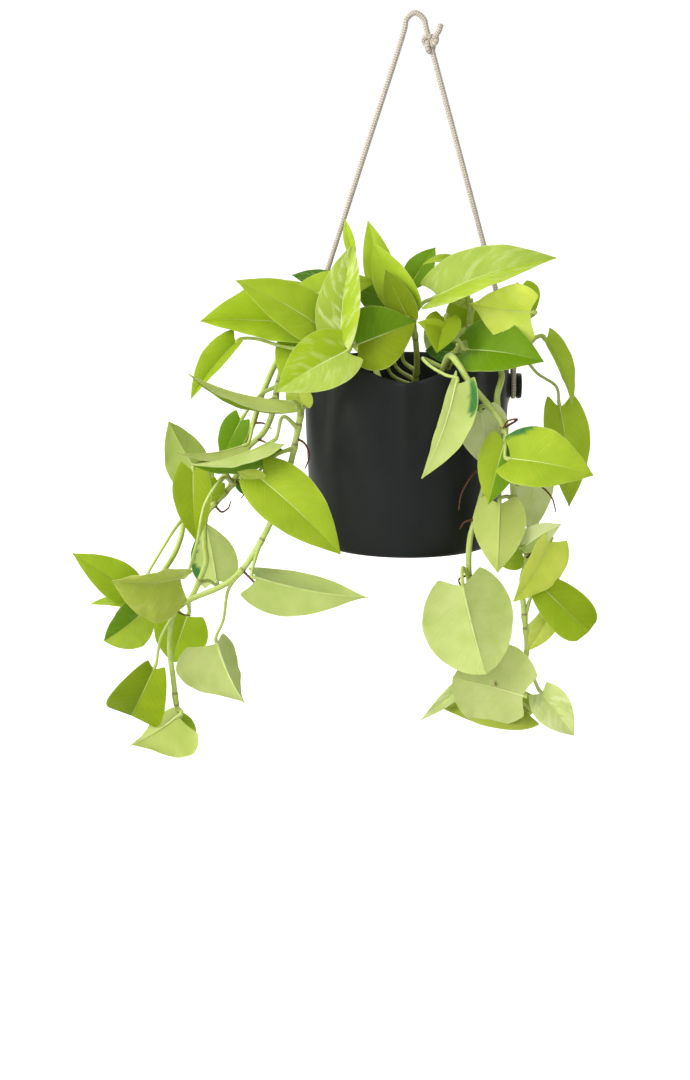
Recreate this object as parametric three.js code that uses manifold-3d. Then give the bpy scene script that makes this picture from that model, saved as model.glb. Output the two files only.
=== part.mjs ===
// Golden pothos in a hanging pot: a moulded plastic pot on a braided rope, the soil that fills it,
// and ten rooted shoots that stand in the soil, five of them trailing over the rim.
// Millimetres, +Z up, +Y away from the front of the pot. Places are given from the centre of the
// pot's underside, and the whole is then lowered so that its origin is the point it hangs from.

import * as THREE from 'three';
import { mergeVertices } from 'three/addons/utils/BufferGeometryUtils.js';
import Module from 'manifold-3d';

const wasm = await Module();
wasm.setup();

// Driving dimensions

const GAP = 0.3; // between pieces that touch
const POT_RADIUS = 90;
const POT_HEIGHT = 160;
const POT_FOOT_RADIUS = 76;
const POT_WALL = 3;
const POT_SEGMENTS = 48;
const FOLDS_START_HEIGHT = 45; // the wall is plain below this height
const SOIL_TOP = 126;
const ROOT_DEPTH = 26; // how deep a shoot stands in its hole in the soil
const STEM_RADIUS = 2.8;
const STEM_SIDES = 5;
const PETIOLE_RADIUS = 1.5;
const BLADE_THICKNESS = 0.8;
const BASAL_LOBE = 0.15; // how far the lobes reach back past the petiole, as a share of the length
const BLADE_ROWS = [0, 0.12, 0.4, 0.72, 1];
const BLUNT_ROWS = [0, 0.12, 0.5, 0.9, 1]; // of a blade that stays wide up to its tip
const WIDE_BLADE = 45; // a blade at least this wide is curved across, a smaller one only folded
const ROPE_RADIUS = 2.25;
const ROPE_SIDES = 8;
const SPOOL_HEIGHT = 139.5;
const SPOOL_CORE_RADIUS = 6.4;
const SPOOL_FLANGE_RADIUS = 11.2;
const SPOOL_INNER_FLANGE = 1.4;
const SPOOL_GROOVE = 5.4;
const SPOOL_OUTER_FLANGE = 4.6;
const HANG_POINT = new THREE.Vector3(5, 0, 453); // the underside of the rope's top bend

// Solids from geometries and back

function solidFrom(geometry) {
  const bare = new THREE.BufferGeometry();
  bare.setAttribute('position', geometry.getAttribute('position'));
  bare.setIndex(geometry.getIndex());
  const merged = mergeVertices(bare, 1e-4);
  const corners = merged.getIndex().array;
  const kept = [];
  for (let i = 0; i < corners.length; i += 3) {
    const [a, b, c] = [corners[i], corners[i + 1], corners[i + 2]];
    if (a !== b && b !== c && c !== a) kept.push(a, b, c);
  }
  const make = (triangles) => new wasm.Manifold(new wasm.Mesh({
    numProp: 3,
    vertProperties: new Float32Array(merged.getAttribute('position').array),
    triVerts: new Uint32Array(triangles),
  }));
  const solid = make(kept);
  if (solid.volume() > 0) return solid;
  for (let i = 0; i < kept.length; i += 3) {
    [kept[i], kept[i + 1]] = [kept[i + 1], kept[i]];
  }
  return make(kept);
}

// The largest body of a fused solid, with sealed pockets filled and loose scraps dropped.
function geometryFrom(solid) {
  const bodies = solid.simplify(0.1).decompose();
  bodies.sort((a, b) => b.volume() - a.volume());
  const mesh = bodies[0].getMesh();
  const geometry = new THREE.BufferGeometry();
  geometry.setAttribute('position', new THREE.BufferAttribute(new Float32Array(mesh.vertProperties), 3));
  geometry.setIndex(new THREE.BufferAttribute(new Uint32Array(mesh.triVerts), 1));
  return geometry;
}

const vector = (place) => new THREE.Vector3(...place);
const routeOf = (places) => new THREE.CatmullRomCurve3(places.map(vector), false, 'centripetal');

function roundSection(radius, sides) {
  const corners = [];
  for (let i = 0; i < sides; i += 1) {
    const angle = (2 * Math.PI * i) / sides;
    corners.push(new THREE.Vector2(radius * Math.cos(angle), radius * Math.sin(angle)));
  }
  return new THREE.Shape(corners);
}

function tube(curve, radius, sides, steps) {
  const section = roundSection(radius, sides);
  const settings = { steps, bevelEnabled: false, extrudePath: curve };
  return solidFrom(new THREE.ExtrudeGeometry(section, settings));
}

// Pot

const degrees = (angle) => THREE.MathUtils.degToRad(angle);
const hump = (angle, centre, width) => Math.exp(-(((angle - centre) / width) ** 2));
const fade = (value, low, high) => THREE.MathUtils.smoothstep(value, low, high);

// How far the rim stands above its plain height, by the angle from the pot's front.
function rimLift(angle) {
  const side = Math.abs(angle);
  return -8 * hump(side, 0, 20) + 7 * hump(side, 38, 22) + 5 * hump(side, 90, 24);
}

// How far the wall stands out of its plain round, as in cloth gathered at the two spools.
function wallFold(angle, height) {
  const side = Math.abs(angle);
  const drop = POT_HEIGHT - height;
  const valley = -4.2 * hump(side, 52 + 0.05 * drop, 9);
  const ridge = 2.2 * hump(side, 40 - 0.3 * drop, 9);
  const middle = -2.6 * hump(side, 7, 8);
  const ripple = 1.6 * hump(side, 68, 8) - 2 * hump(side, 122, 12) + 1.4 * hump(side, 150, 12);
  return (valley + ridge + middle + ripple) * fade(height, FOLDS_START_HEIGHT, POT_HEIGHT - 20);
}

const OUTER_PROFILE = [
  [0, 0], [POT_FOOT_RADIUS, 0], [80.4, 2], [83.2, 16], [86.2, 48], [88.2, 84], [89.4, 116], [90, 140],
  [POT_RADIUS, 154], [88.8, 159.6],
];
const WALL_INSIDE = [[86.1, SOIL_TOP], [84.8, 100], [82.6, 56], [79.4, 16]];
const INNER_PROFILE = [[87.4, 159.2], [86.7, 154], ...WALL_INSIDE, [76, POT_WALL], [0, POT_WALL]];

// A round body with the pot's folds and waved rim.
function shapedLathe(places) {
  const profile = places.map(([r, z]) => new THREE.Vector2(r, z));
  const geometry = new THREE.LatheGeometry(profile, POT_SEGMENTS);
  const place = geometry.getAttribute('position');
  for (let i = 0; i < place.count; i += 1) {
    const [x, height, y] = [place.getX(i), place.getY(i), place.getZ(i)];
    const radius = Math.hypot(x, y);
    const angle = THREE.MathUtils.radToDeg(Math.atan2(x, -y));
    const onWall = radius > POT_FOOT_RADIUS ? 1 : 0;
    const scale = 1 + (onWall * wallFold(angle, height)) / Math.max(radius, 1);
    place.setXYZ(i, x * scale, y * scale, height + onWall * rimLift(angle) * fade(height, 90, POT_HEIGHT));
  }
  return geometry;
}

// A round spool that stands out of the wall, with a groove for the rope's eye.
function spool(side) {
  const wall = POT_RADIUS - 1.2;
  const inner = POT_RADIUS + SPOOL_INNER_FLANGE;
  const groove = inner + SPOOL_GROOVE;
  const end = groove + SPOOL_OUTER_FLANGE;
  const profile = [
    [0, wall], [SPOOL_FLANGE_RADIUS, wall], [SPOOL_FLANGE_RADIUS, inner], [SPOOL_CORE_RADIUS, inner],
    [SPOOL_CORE_RADIUS, groove], [SPOOL_FLANGE_RADIUS, groove], [SPOOL_FLANGE_RADIUS, end - 1],
    [SPOOL_FLANGE_RADIUS - 1, end], [0, end],
  ].map(([r, x]) => new THREE.Vector2(r, x));
  const geometry = new THREE.LatheGeometry(profile, 16);
  geometry.rotateZ(-side * Math.PI / 2);
  geometry.translate(0, 0, SPOOL_HEIGHT);
  return solidFrom(geometry);
}

function pot() {
  const wall = solidFrom(shapedLathe([...OUTER_PROFILE, ...INNER_PROFILE]));
  return wall.add(spool(1)).add(spool(-1));
}

// Rope: an eye round each spool, a strand up from each, and a bend at the top where it hangs.

const EYE_RADIUS = SPOOL_CORE_RADIUS + 2 * GAP + ROPE_RADIUS;
const ROPE_SIDE = POT_RADIUS + SPOOL_INNER_FLANGE + SPOOL_GROOVE / 2;
const TOP_BEND = [
  [-3.6, 0, 443], [-2.2, 0, 450], [5, 0, HANG_POINT.z + ROPE_RADIUS], [12.4, 0, 450], [14.4, 0, 443],
];

function eye(side) {
  const x = side * ROPE_SIDE;
  const bend = [];
  for (let angle = 30; angle >= -210; angle -= 30) {
    const [c, s] = [Math.cos(degrees(angle)), Math.sin(degrees(angle))];
    bend.push([x, EYE_RADIUS * c, SPOOL_HEIGHT + EYE_RADIUS * s]);
  }
  const tail = [[x, 3.2, SPOOL_HEIGHT + 27], [x, 5.6, SPOOL_HEIGHT + 14]];
  return [...tail, ...bend, [x, -5, SPOOL_HEIGHT + 14]];
}

function rope() {
  const strands = [[-1, TOP_BEND[0]], [1, TOP_BEND[TOP_BEND.length - 1]]].map(([side, top]) => {
    const loop = eye(side);
    const x = side * ROPE_SIDE;
    const bent = [x - side * 2, 0, SPOOL_HEIGHT + 32];
    const straight = [0.25, 0.6].map((share) => bent.map((value, i) => value + share * (top[i] - value)));
    const up = [[x, -1.4, SPOOL_HEIGHT + 20], bent, ...straight, top];
    const eyeTube = tube(routeOf([...loop, up[0]]), ROPE_RADIUS, ROPE_SIDES, 16);
    const strand = tube(routeOf([loop[loop.length - 1], ...up]), ROPE_RADIUS, ROPE_SIDES, 10);
    return eyeTube.add(strand);
  });
  const bend = tube(routeOf(TOP_BEND), ROPE_RADIUS, ROPE_SIDES, 8);
  const knot = new THREE.SphereGeometry(1, 10, 7);
  knot.scale(8, 7, 10);
  knot.translate(18, 0, 431);
  const tail = tube(routeOf([[20, -2, 433], [25, -4, 440], [27, -5, 446]]), ROPE_RADIUS, ROPE_SIDES, 3);
  return strands[0].add(bend).add(strands[1]).add(solidFrom(knot)).add(tail);
}

// Leaves. A blade is given by the place of its base and its tip, its width, and face, the way
// that its upper side looks. Its edges rise to that side by fold, in degrees, the blade arches
// to it by arch, a share of the length, and it turns about its midrib by twist, in degrees,
// between base and tip. Taper tells how fast it narrows to the tip. The petiole leaves the stem
// at point number `at` of its route, and passes the places in via. A flap has no petiole and
// grows out of the blade before it.

const leaf = (at, base, tip, width, face, shape = {}) => ({ at, base, tip, width, face, ...shape });
const flap = (base, tip, width, face, shape = {}) => leaf(null, base, tip, width, face, shape);

// Half the width along the blade, 1 at its widest. A smaller taper gives a rounder blade.
function bladeHalfWidth(u, taper) {
  const widest = (0.5 - 0.06 * taper) / (taper + 0.5);
  const shape = (t) => Math.sqrt(t + 0.06) * Math.max(0, 1 - t) ** taper;
  return shape(u) / shape(widest);
}

function bladeSurface({ base, tip, width, face, fold = 14, arch = 0.06, twist = 0, taper = 1 }) {
  const start = vector(base);
  const chord = vector(tip).sub(start);
  const length = chord.length();
  const along = chord.clone().normalize();
  const up = vector(face).addScaledVector(along, -vector(face).dot(along)).normalize();
  return (u, v) => {
    const turned = up.clone().applyAxisAngle(along, degrees(twist) * u * u);
    const across = new THREE.Vector3().crossVectors(along, turned);
    const half = Math.max(0.6, (width / 2) * bladeHalfWidth(u, taper)) * Math.abs(v);
    const back = BASAL_LOBE * Math.abs(v) ** 1.5 * (1 - u) ** 4;
    return start.clone()
      .addScaledVector(along, length * (u - back))
      .addScaledVector(up, arch * length * 4 * u * (1 - u))
      .addScaledVector(across, Math.sign(v) * half * Math.cos(degrees(fold)))
      .addScaledVector(turned, half * Math.sin(degrees(fold)) * (1.25 - 0.5 * Math.abs(v)));
  };
}

// The petiole's course, from the stem to the notch of its blade.
function petioleCurve(shape, start) {
  const surface = bladeSurface(shape);
  const end = surface(0, 0);
  const before = end.clone().addScaledVector(surface(0.1, 0).sub(end).normalize(), -4);
  const reach = start.distanceTo(end);
  const middle = start.clone().lerp(before, 0.5).add(new THREE.Vector3(0, 0, 0.12 * reach));
  const via = shape.via ? shape.via.map(vector) : [middle];
  return new THREE.CatmullRomCurve3([start, ...via, before, end], false, 'centripetal');
}

// A blade with its upper and its lower face split alike. Where start is given, a square petiole
// runs from there into the blade's base, between the two columns of corners beside the midrib.
function leafSolid(shape, start) {
  const surface = bladeSurface(shape);
  const rib = 1.4 / shape.width;
  const columns = shape.width >= WIDE_BLADE ? [-1, -0.5, -rib, rib, 0.5, 1] : [-1, -rib, rib, 1];
  const shares = shape.taper < 0.5 ? BLUNT_ROWS : BLADE_ROWS;
  const [rows, count] = [shares.length, columns.length];
  const places = [];
  for (const side of [1, -1]) {
    for (const u of shares) {
      for (const v of columns) {
        const du = surface(u + 0.02, v).sub(surface(u - 0.02, v));
        const dv = surface(u, v + 0.02).sub(surface(u, v - 0.02));
        const normal = new THREE.Vector3().crossVectors(dv, du).normalize();
        places.push(surface(u, v).addScaledVector(normal, (side * BLADE_THICKNESS) / 2));
      }
    }
  }
  const corner = (layer, row, column) => layer * rows * count + row * count + column;
  const triangles = [];
  const quad = (a, b, c, d) => triangles.push(a, b, c, a, c, d);
  for (let i = 0; i + 1 < rows; i += 1) {
    for (let j = 0; j + 1 < count; j += 1) {
      quad(corner(0, i, j), corner(0, i, j + 1), corner(0, i + 1, j + 1), corner(0, i + 1, j));
      triangles.push(corner(1, i, j), corner(1, i + 1, j + 1), corner(1, i, j + 1));
      triangles.push(corner(1, i, j), corner(1, i + 1, j), corner(1, i + 1, j + 1));
    }
  }
  const rim = [];
  for (let j = 0; j < count; j += 1) rim.push([0, j]);
  for (let i = 1; i < rows; i += 1) rim.push([i, count - 1]);
  for (let j = count - 2; j >= 0; j -= 1) rim.push([rows - 1, j]);
  for (let i = rows - 2; i > 0; i -= 1) rim.push([i, 0]);
  const notch = count / 2 - 1;
  rim.forEach(([i, j], k) => {
    const [m, n] = rim[(k + 1) % rim.length];
    if (start && k === notch) return;
    quad(corner(0, m, n), corner(0, i, j), corner(1, i, j), corner(1, m, n));
  });
  if (start) {
    const curve = petioleCurve(shape, start);
    const steps = Math.max(3, Math.ceil(curve.getLength() / 16));
    let ring = [corner(0, 0, notch + 1), corner(0, 0, notch), corner(1, 0, notch), corner(1, 0, notch + 1)];
    const across = places[ring[0]].clone().sub(places[ring[1]]);
    for (let k = steps - 1; k >= 0; k -= 1) {
      const centre = curve.getPointAt(k / steps);
      const tangent = curve.getTangentAt(k / steps);
      across.addScaledVector(tangent, -across.dot(tangent)).normalize();
      const other = new THREE.Vector3().crossVectors(across, tangent);
      const next = [[1, 1], [-1, 1], [-1, -1], [1, -1]].map(([p, q]) => {
        const place = centre.clone().addScaledVector(across, p * PETIOLE_RADIUS * 0.75);
        return places.push(place.addScaledVector(other, q * PETIOLE_RADIUS * 0.75)) - 1;
      });
      next.forEach((now, j) => quad(now, ring[j], ring[(j + 1) % 4], next[(j + 1) % 4]));
      ring = next;
    }
    quad(ring[0], ring[1], ring[2], ring[3]);
  }
  const geometry = new THREE.BufferGeometry();
  const numbers = places.flatMap((place) => place.toArray());
  geometry.setAttribute('position', new THREE.Float32BufferAttribute(numbers, 3));
  geometry.setIndex(triangles);
  return solidFrom(geometry);
}

// The place on the middle line of a stem's tube that lies nearest to a point of its route.
function jointOn(stem, steps, place) {
  const line = new THREE.Line3();
  let nearest = null;
  for (let i = 0; i < steps; i += 1) {
    line.set(stem.getPointAt(i / steps), stem.getPointAt((i + 1) / steps));
    const point = line.closestPointToPoint(place, true, new THREE.Vector3());
    if (!nearest || point.distanceTo(place) < nearest.distanceTo(place)) nearest = point;
  }
  return nearest;
}

function shoot({ route, leaves }) {
  const stem = routeOf(route);
  const steps = Math.ceil(stem.getLength() / 20);
  const [x, y, z] = route[0];
  const foot = new THREE.CylinderGeometry(STEM_RADIUS, STEM_RADIUS, ROOT_DEPTH + 8, STEM_SIDES);
  foot.rotateX(Math.PI / 2);
  foot.translate(x, y, z - ROOT_DEPTH / 2 - 2);
  let solid = solidFrom(foot).add(tube(stem, STEM_RADIUS, STEM_SIDES, steps));
  for (const shape of leaves) {
    const joint = shape.at === null ? null : stem.getPoint(shape.at / (route.length - 1));
    solid = solid.add(leafSolid(shape, joint && jointOn(stem, steps, joint)));
  }
  return solid;
}

// Every route starts just above the soil, over the straight foot that stands in it.

const SHOOTS = {
  vine_left_front: {
    route: [
      [-38, -34, 132], [-50, -45, 158], [-70, -62, 176], [-84, -66, 160], [-88, -67, 132],
      [-93, -66, 105], [-98, -68, 82], [-107, -72, 49], [-114, -74, 33], [-127, -74, 8],
      [-142, -72, -14], [-157, -68, -27], [-190, -64, -43], [-201, -62, -52], [-206, -60, -72],
      [-207, -58, -94], [-205, -56, -116], [-203, -54, -144],
    ],
    leaves: [
      leaf(4, [-88, -78, 133], [-92, -92, 161], 24, [-0.2, -1, 0.1]),
      leaf(4.4, [-97, -95, 137], [-179, -112, 162], 46, [0, -0.16, -0.99], { fold: 36 }),
      leaf(4.8, [-113, -84, 102], [-180, -104, 85], 52, [0, -0.37, -0.93], {
        fold: 40, via: [[-104, -78, 122]],
      }),
      leaf(5.5, [-122, -94, 72], [-54, -112, 11], 56, [0.34, -0.87, 0.37]),
      flap([-120, -94, 70], [-141, -97, 78], 15, [0, -1, 0.2]),
      leaf(8.8, [-128, -78, -18], [-31, -96, -30], 58, [0, 0.68, -0.73], {
        fold: 38, twist: 55, taper: 1.3,
      }),
      leaf(10, [-164, -70, -79], [-139, -84, -129], 94, [-0.77, 0.5, -0.39], {
        fold: 30, taper: 1.35, via: [[-153, -72, -30], [-158, -72, -58]],
      }),
      leaf(12.6, [-221, -62, -105], [-244, -50, -153], 54, [0.1, -0.95, 0.1], {
        arch: 0.12, taper: 0.12, via: [[-213, -66, -74]],
      }),
      leaf(17, [-201, -58, -150], [-242, -76, -172], 78, [0.4, 0.57, -0.72], { fold: 34, taper: 1.5 }),
      leaf(16.6, [-200, -46, -155], [-188, -36, -176], 14, [0, -1, 0.2]),
    ],
  },
  vine_left_middle: {
    route: [
      [-45, -8, 132], [-62, -14, 160], [-84, -20, 178], [-103, -23, 168], [-112, -26, 142], [-116, -30, 120],
      [-124, -33, 102], [-140, -37, 86], [-151, -42, 58], [-164, -44, 43], [-174, -45, 31], [-176, -45, 3],
      [-175, -44, -11], [-185, -40, -37], [-193, -34, -52],
    ],
    leaves: [
      leaf(4, [-144, -26, 112], [-163, -14, 72], 28, [-0.3, -0.9, 0.2]),
      leaf(4.5, [-139, -66, 95], [-193, -88, 92], 34, [0, -0.1, -1], { fold: 35, via: [[-127, -46, 126]] }),
      leaf(7.5, [-146, -22, 59], [-136, -18, 41], 16, [0, -1, 0.2]),
      leaf(9.3, [-162, -54, 61], [-173, -56, 42], 18, [0, -1, 0.2]),
      leaf(8.6, [-176, -44, 61], [-203, -62, 115], 48, [-0.58, 0.74, -0.33], { fold: 19 }),
      leaf(8, [-180, -84, 77], [-178, -82, 14], 36, [-0.2, -1, 0], { via: [[-162, -66, 80]] }),
      leaf(8, [-191, -96, -14], [-247, -114, -13], 90, [0, -0.75, -0.66], {
        fold: 27, via: [[-156, -92, 70], [-168, -102, 52], [-176, -104, 17]],
      }),
      leaf(12.8, [-169, -18, -36], [-176, -32, 20], 44, [0, 0.95, -0.2]),
      leaf(14, [-195, -26, -66], [-213, -6, -116], 52, [0, -1, 0.2]),
    ],
  },
  vine_left_back: {
    route: [
      [-42, 18, 132], [-66, 18, 165], [-90, 17, 182], [-108, 14, 170], [-129, 8, 129], [-137, 2, 103],
      [-148, -2, 81], [-164, -8, 56], [-188, -14, 35], [-196, -16, 24], [-201, -18, 3], [-206, -26, -10],
      [-215, -36, -24], [-224, -42, -39], [-228, -48, -47],
    ],
    leaves: [
      leaf(9, [-239, -60, -36], [-285, -86, 4], 36, [-0.1, -0.8, 0.5], {
        via: [[-204, -38, 15], [-222, -50, -14]],
      }),
      leaf(14, [-227, -74, -50], [-258, -98, -70], 50, [0.25, -0.9, -0.34], { taper: 0.8 }),
      leaf(13.5, [-236, -66, -47], [-272, -82, -42], 22, [0, -0.3, 1]),
      leaf(3, [-100, 34, 190], [-128, 66, 186], 46, [-0.2, 0.6, 0.8]),
    ],
  },
  spray_left: {
    route: [
      [-24, -30, 132], [-40, -44, 156], [-52, -54, 170], [-64, -68, 183], [-79, -74, 184], [-93, -78, 170],
      [-98, -80, 158],
    ],
    leaves: [
      leaf(3, [-55, -88, 188], [-45, -64, 266], 46, [-0.4, -0.9, 0.15], { fold: 28 }),
      flap([-46, -66, 260], [-52, -54, 285], 10, [-0.3, -1, 0.1]),
      leaf(4, [-69, -74, 195], [-140, -98, 237], 48, [-0.1, -0.78, 0.62], { fold: 8 }),
      leaf(2.5, [-76, -38, 193], [-175, -56, 200], 80, [0, -0.77, 0.64], { fold: 36 }),
      leaf(2, [-60, -14, 228], [-100, -6, 236], 20, [0, -0.9, 0.4]),
      leaf(3, [-85, -54, 221], [-26, -46, 233], 34, [0, -0.8, 0.6]),
      leaf(4.5, [-144, -62, 183], [-182, -74, 136], 34, [-0.48, -0.79, 0.38], {
        fold: 38, via: [[-109, -64, 181], [-129, -60, 186]],
      }),
      leaf(4.3, [-88, -54, 183], [-107, -72, 155], 36, [-0.2, -0.95, 0.2]),
      leaf(3, [-50, -94, 179], [-107, -108, 147], 54, [0.05, -0.85, 0.5]),
    ],
  },
  spray_centre: {
    route: [[6, -14, 132], [9, -30, 160], [7, -50, 188], [5, -58, 200], [6, -60, 208]],
    leaves: [
      leaf(4, [3, -62, 214], [-29, -46, 266], 38, [-0.5, -0.8, 0.2], { fold: 25 }),
      leaf(3.5, [1, -72, 205], [-18, -66, 244], 26, [-0.3, -0.9, 0.2]),
      leaf(3, [-41, -78, 183], [8, -75, 202], 56, [0, -0.97, 0.1], {
        via: [[-12, -56, 196], [-38, -64, 186]],
      }),
      leaf(0.5, [-2, -42, 209], [-47, -36, 227], 46, [0, -0.75, 0.65], {
        via: [[-9, -20, 158], [-12, -28, 184]],
      }),
      leaf(0.8, [-4, -36, 200], [-44, -34, 203], 24, [0, -0.25, 0.97], {
        via: [[-3, -22, 164], [-1, -32, 186]],
      }),
      leaf(0.3, [-20, -28, 223], [-34, -18, 283], 28, [0.1, -0.95, 0.2], {
        via: [[-14, -18, 152], [-18, -24, 184]],
      }),
      leaf(2, [5, -22, 232], [24, -12, 260], 26, [-0.3, -0.9, 0.2]),
      leaf(4, [25, -60, 222], [122, -84, 255], 60, [-0.1, -0.66, 0.75], { fold: 26 }),
    ],
  },
  spray_right: {
    route: [[28, -12, 132], [36, -34, 165], [40, -42, 184], [54, -36, 193], [79, -40, 190], [105, -46, 182]],
    leaves: [
      leaf(1, [39, -50, 174], [16, -48, 175], 20, [0, -0.9, 0.3]),
      leaf(2, [32, -70, 204], [25, -86, 177], 34, [-0.1, -0.95, 0.2], { fold: 26 }),
      flap([29, -76, 196], [9, -80, 202], 14, [0, -1, 0.2]),
      leaf(2, [52, -59, 177], [113, -93, 171], 60, [0, -0.81, 0.59], { fold: 22 }),
      leaf(3, [48, -28, 243], [13, -40, 247], 16, [0, -0.5, 0.85], { arch: 0.2 }),
      leaf(3, [55, -14, 212], [48, -16, 180], 40, [0, -1, 0.2]),
      leaf(3, [54, -30, 213], [36, -34, 217], 12, [0, -0.8, 0.5]),
      leaf(4, [97, -12, 226], [108, -20, 201], 30, [0, -0.9, 0.4]),
      leaf(5, [103, -72, 210], [52, -60, 216], 65, [0.1, -0.92, -0.34], {
        fold: 26, taper: 1.4, via: [[98, -48, 196]],
      }),
      leaf(5, [118, -40, 184], [143, -34, 127], 32, [0.78, -0.59, 0.21], { fold: 34 }),
      leaf(4, [133, -30, 125], [142, -44, 40], 46, [0.42, -0.9, 0], {
        via: [[98, -37, 172], [112, -36, 155], [129, -34, 143]],
      }),
    ],
  },
  vine_right_front: {
    route: [
      [24, -38, 132], [30, -60, 158], [36, -78, 174], [43, -90, 168], [50, -96, 157], [57, -98, 148],
      [71, -99, 132], [80, -97, 119], [85, -88, 92], [90, -82, 70], [92, -78, 52], [98, -74, 25],
      [105, -72, 1], [101, -70, -19], [104, -68, -54], [107, -64, -82], [105, -62, -101],
    ],
    leaves: [
      leaf(1.2, [41, -110, 155], [13, -118, 77], 48, [0.7, 0.67, -0.26], {
        fold: 34, via: [[14, -72, 171], [20, -96, 167], [33, -108, 161]],
      }),
      leaf(7.2, [82, -100, 106], [69, -104, 53], 36, [-0.2, -1, 0.1]),
      leaf(7.4, [86, -112, 93], [153, -126, 82], 62, [0.13, -0.79, 0.6], { fold: 20 }),
      leaf(8, [111, -58, 74], [109, -50, 16], 36, [0, 1, 0]),
      leaf(10, [79, -96, 52], [78, -102, -6], 46, [0.1, 1, 0]),
      leaf(10.5, [101, -88, 14], [131, -92, 34], 24, [0, 0.9, 0.3]),
      leaf(11.5, [101, -52, 1], [70, -58, 1], 34, [0, -0.9, 0.3]),
      leaf(12, [124, -75, 16], [93, -83, -36], 54, [0.55, -0.77, -0.33], { fold: 20 }),
      leaf(14, [117, -70, -25], [158, -78, -64], 42, [0.1, -1, 0.2], { taper: 0.3 }),
      leaf(14.4, [126, -76, -48], [107, -74, -82], 22, [0, -1, 0]),
      leaf(16, [121, -58, -125], [150, -64, -162], 38, [-0.2, -0.9, 0.4], { fold: 28 }),
    ],
  },
  vine_right_side: {
    route: [
      [44, -26, 132], [58, -42, 160], [70, -56, 172], [80, -68, 158], [76, -78, 140], [77, -82, 127],
      [79, -80, 112], [77, -78, 99], [71, -78, 81], [66, -80, 61], [60, -82, 38], [55, -84, 18],
      [55, -86, -16], [63, -78, -54], [75, -68, -88], [89, -62, -121], [101, -58, -133],
    ],
    leaves: [
      leaf(5, [62, -90, 129], [71, -94, 80], 44, [0, 1, 0]),
      leaf(12, [49, -103, -17], [70, -100, -96], 84, [-0.3, 0.95, 0.1], {
        fold: 15, taper: 0.6, via: [[49, -93, -4]],
      }),
      leaf(15, [104, -76, -122], [42, -88, -103], 80, [0, 1, 0], { taper: 0.7 }),
      leaf(14, [62, -60, -108], [15, -72, -147], 15, [0, -1, 0.2]),
      leaf(16, [110, -52, -145], [30, -62, -137], 42, [0, -0.8, 0.6]),
    ],
  },
  spray_back_left: {
    route: [
      [-22, 34, 132], [-34, 56, 160], [-44, 76, 178], [-52, 96, 168], [-58, 106, 146], [-62, 110, 120],
      [-64, 110, 95],
    ],
    leaves: [
      leaf(2, [-52, 68, 204], [-96, 90, 212], 50, [-0.2, 0.6, 0.8]),
      leaf(3, [-38, 96, 180], [-18, 119, 134], 50, [0.1, 0.8, 0.6]),
      leaf(4, [-64, 124, 144], [-62, 130, 76], 58, [-0.1, 1, 0.2]),
      leaf(5, [-36, 122, 112], [-16, 126, 50], 52, [0.1, 1, 0.1]),
      leaf(6, [-66, 116, 82], [-70, 112, 20], 50, [-0.2, 1, 0.1]),
    ],
  },
  spray_back_right: {
    route: [
      [30, 32, 132], [42, 52, 158], [54, 70, 177], [62, 90, 168], [66, 102, 145], [66, 106, 118],
      [62, 108, 92],
    ],
    leaves: [
      leaf(2, [62, 66, 200], [98, 88, 206], 46, [0.2, 0.6, 0.8]),
      leaf(3, [44, 84, 184], [30, 112, 138], 50, [0, 0.8, 0.6]),
      leaf(4, [72, 120, 140], [74, 124, 70], 56, [0.1, 1, 0.2]),
      leaf(5, [40, 120, 112], [24, 124, 46], 54, [0, 1, 0.1]),
      leaf(6, [62, 118, 80], [70, 114, 14], 50, [0.1, 1, 0.1]),
    ],
  },
};

// Soil: a plug with a low mound, and a plain hole for the foot of every shoot.

function soil() {
  const side = WALL_INSIDE.map(([r, z]) => [r - GAP - 0.1, z]);
  const [floor, edge] = [POT_WALL + GAP, POT_FOOT_RADIUS - 0.6];
  const geometry = shapedLathe([[0, SOIL_TOP + 3], [56, SOIL_TOP + 2], ...side, [edge, floor], [0, floor]]);
  let solid = solidFrom(geometry);
  for (const { route } of Object.values(SHOOTS)) {
    const [x, y] = route[0];
    const radius = STEM_RADIUS + 1.3 * GAP;
    const hole = new THREE.CylinderGeometry(radius, radius, 2 * ROOT_DEPTH, STEM_SIDES);
    hole.rotateX(Math.PI / 2);
    hole.translate(x, y, SOIL_TOP - GAP);
    solid = solid.subtract(solidFrom(hole));
  }
  return solid;
}

// Materials

const finish = (color, roughness) => new THREE.MeshStandardMaterial({ color, roughness, metalness: 0 });
const plastic = () => finish(0x383c3b, 0.55);
const braid = () => finish(0xcfc8b8, 0.9);
const earth = () => finish(0x2b2019, 1);
const foliage = () => finish(0xa6c43c, 0.45);

function piece(name, solid, material) {
  const mesh = new THREE.Mesh(geometryFrom(solid), material);
  mesh.name = name;
  return mesh;
}

const pothos = new THREE.Group();
pothos.position.copy(HANG_POINT).negate();
pothos.add(piece('pot', pot(), plastic()));
pothos.add(piece('soil', soil(), earth()));
pothos.add(piece('rope', rope(), braid()));
for (const [name, shape] of Object.entries(SHOOTS)) pothos.add(piece(name, shoot(shape), foliage()));

export default pothos;
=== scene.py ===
import math

import bpy
import numpy as np
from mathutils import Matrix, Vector, noise


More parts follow.
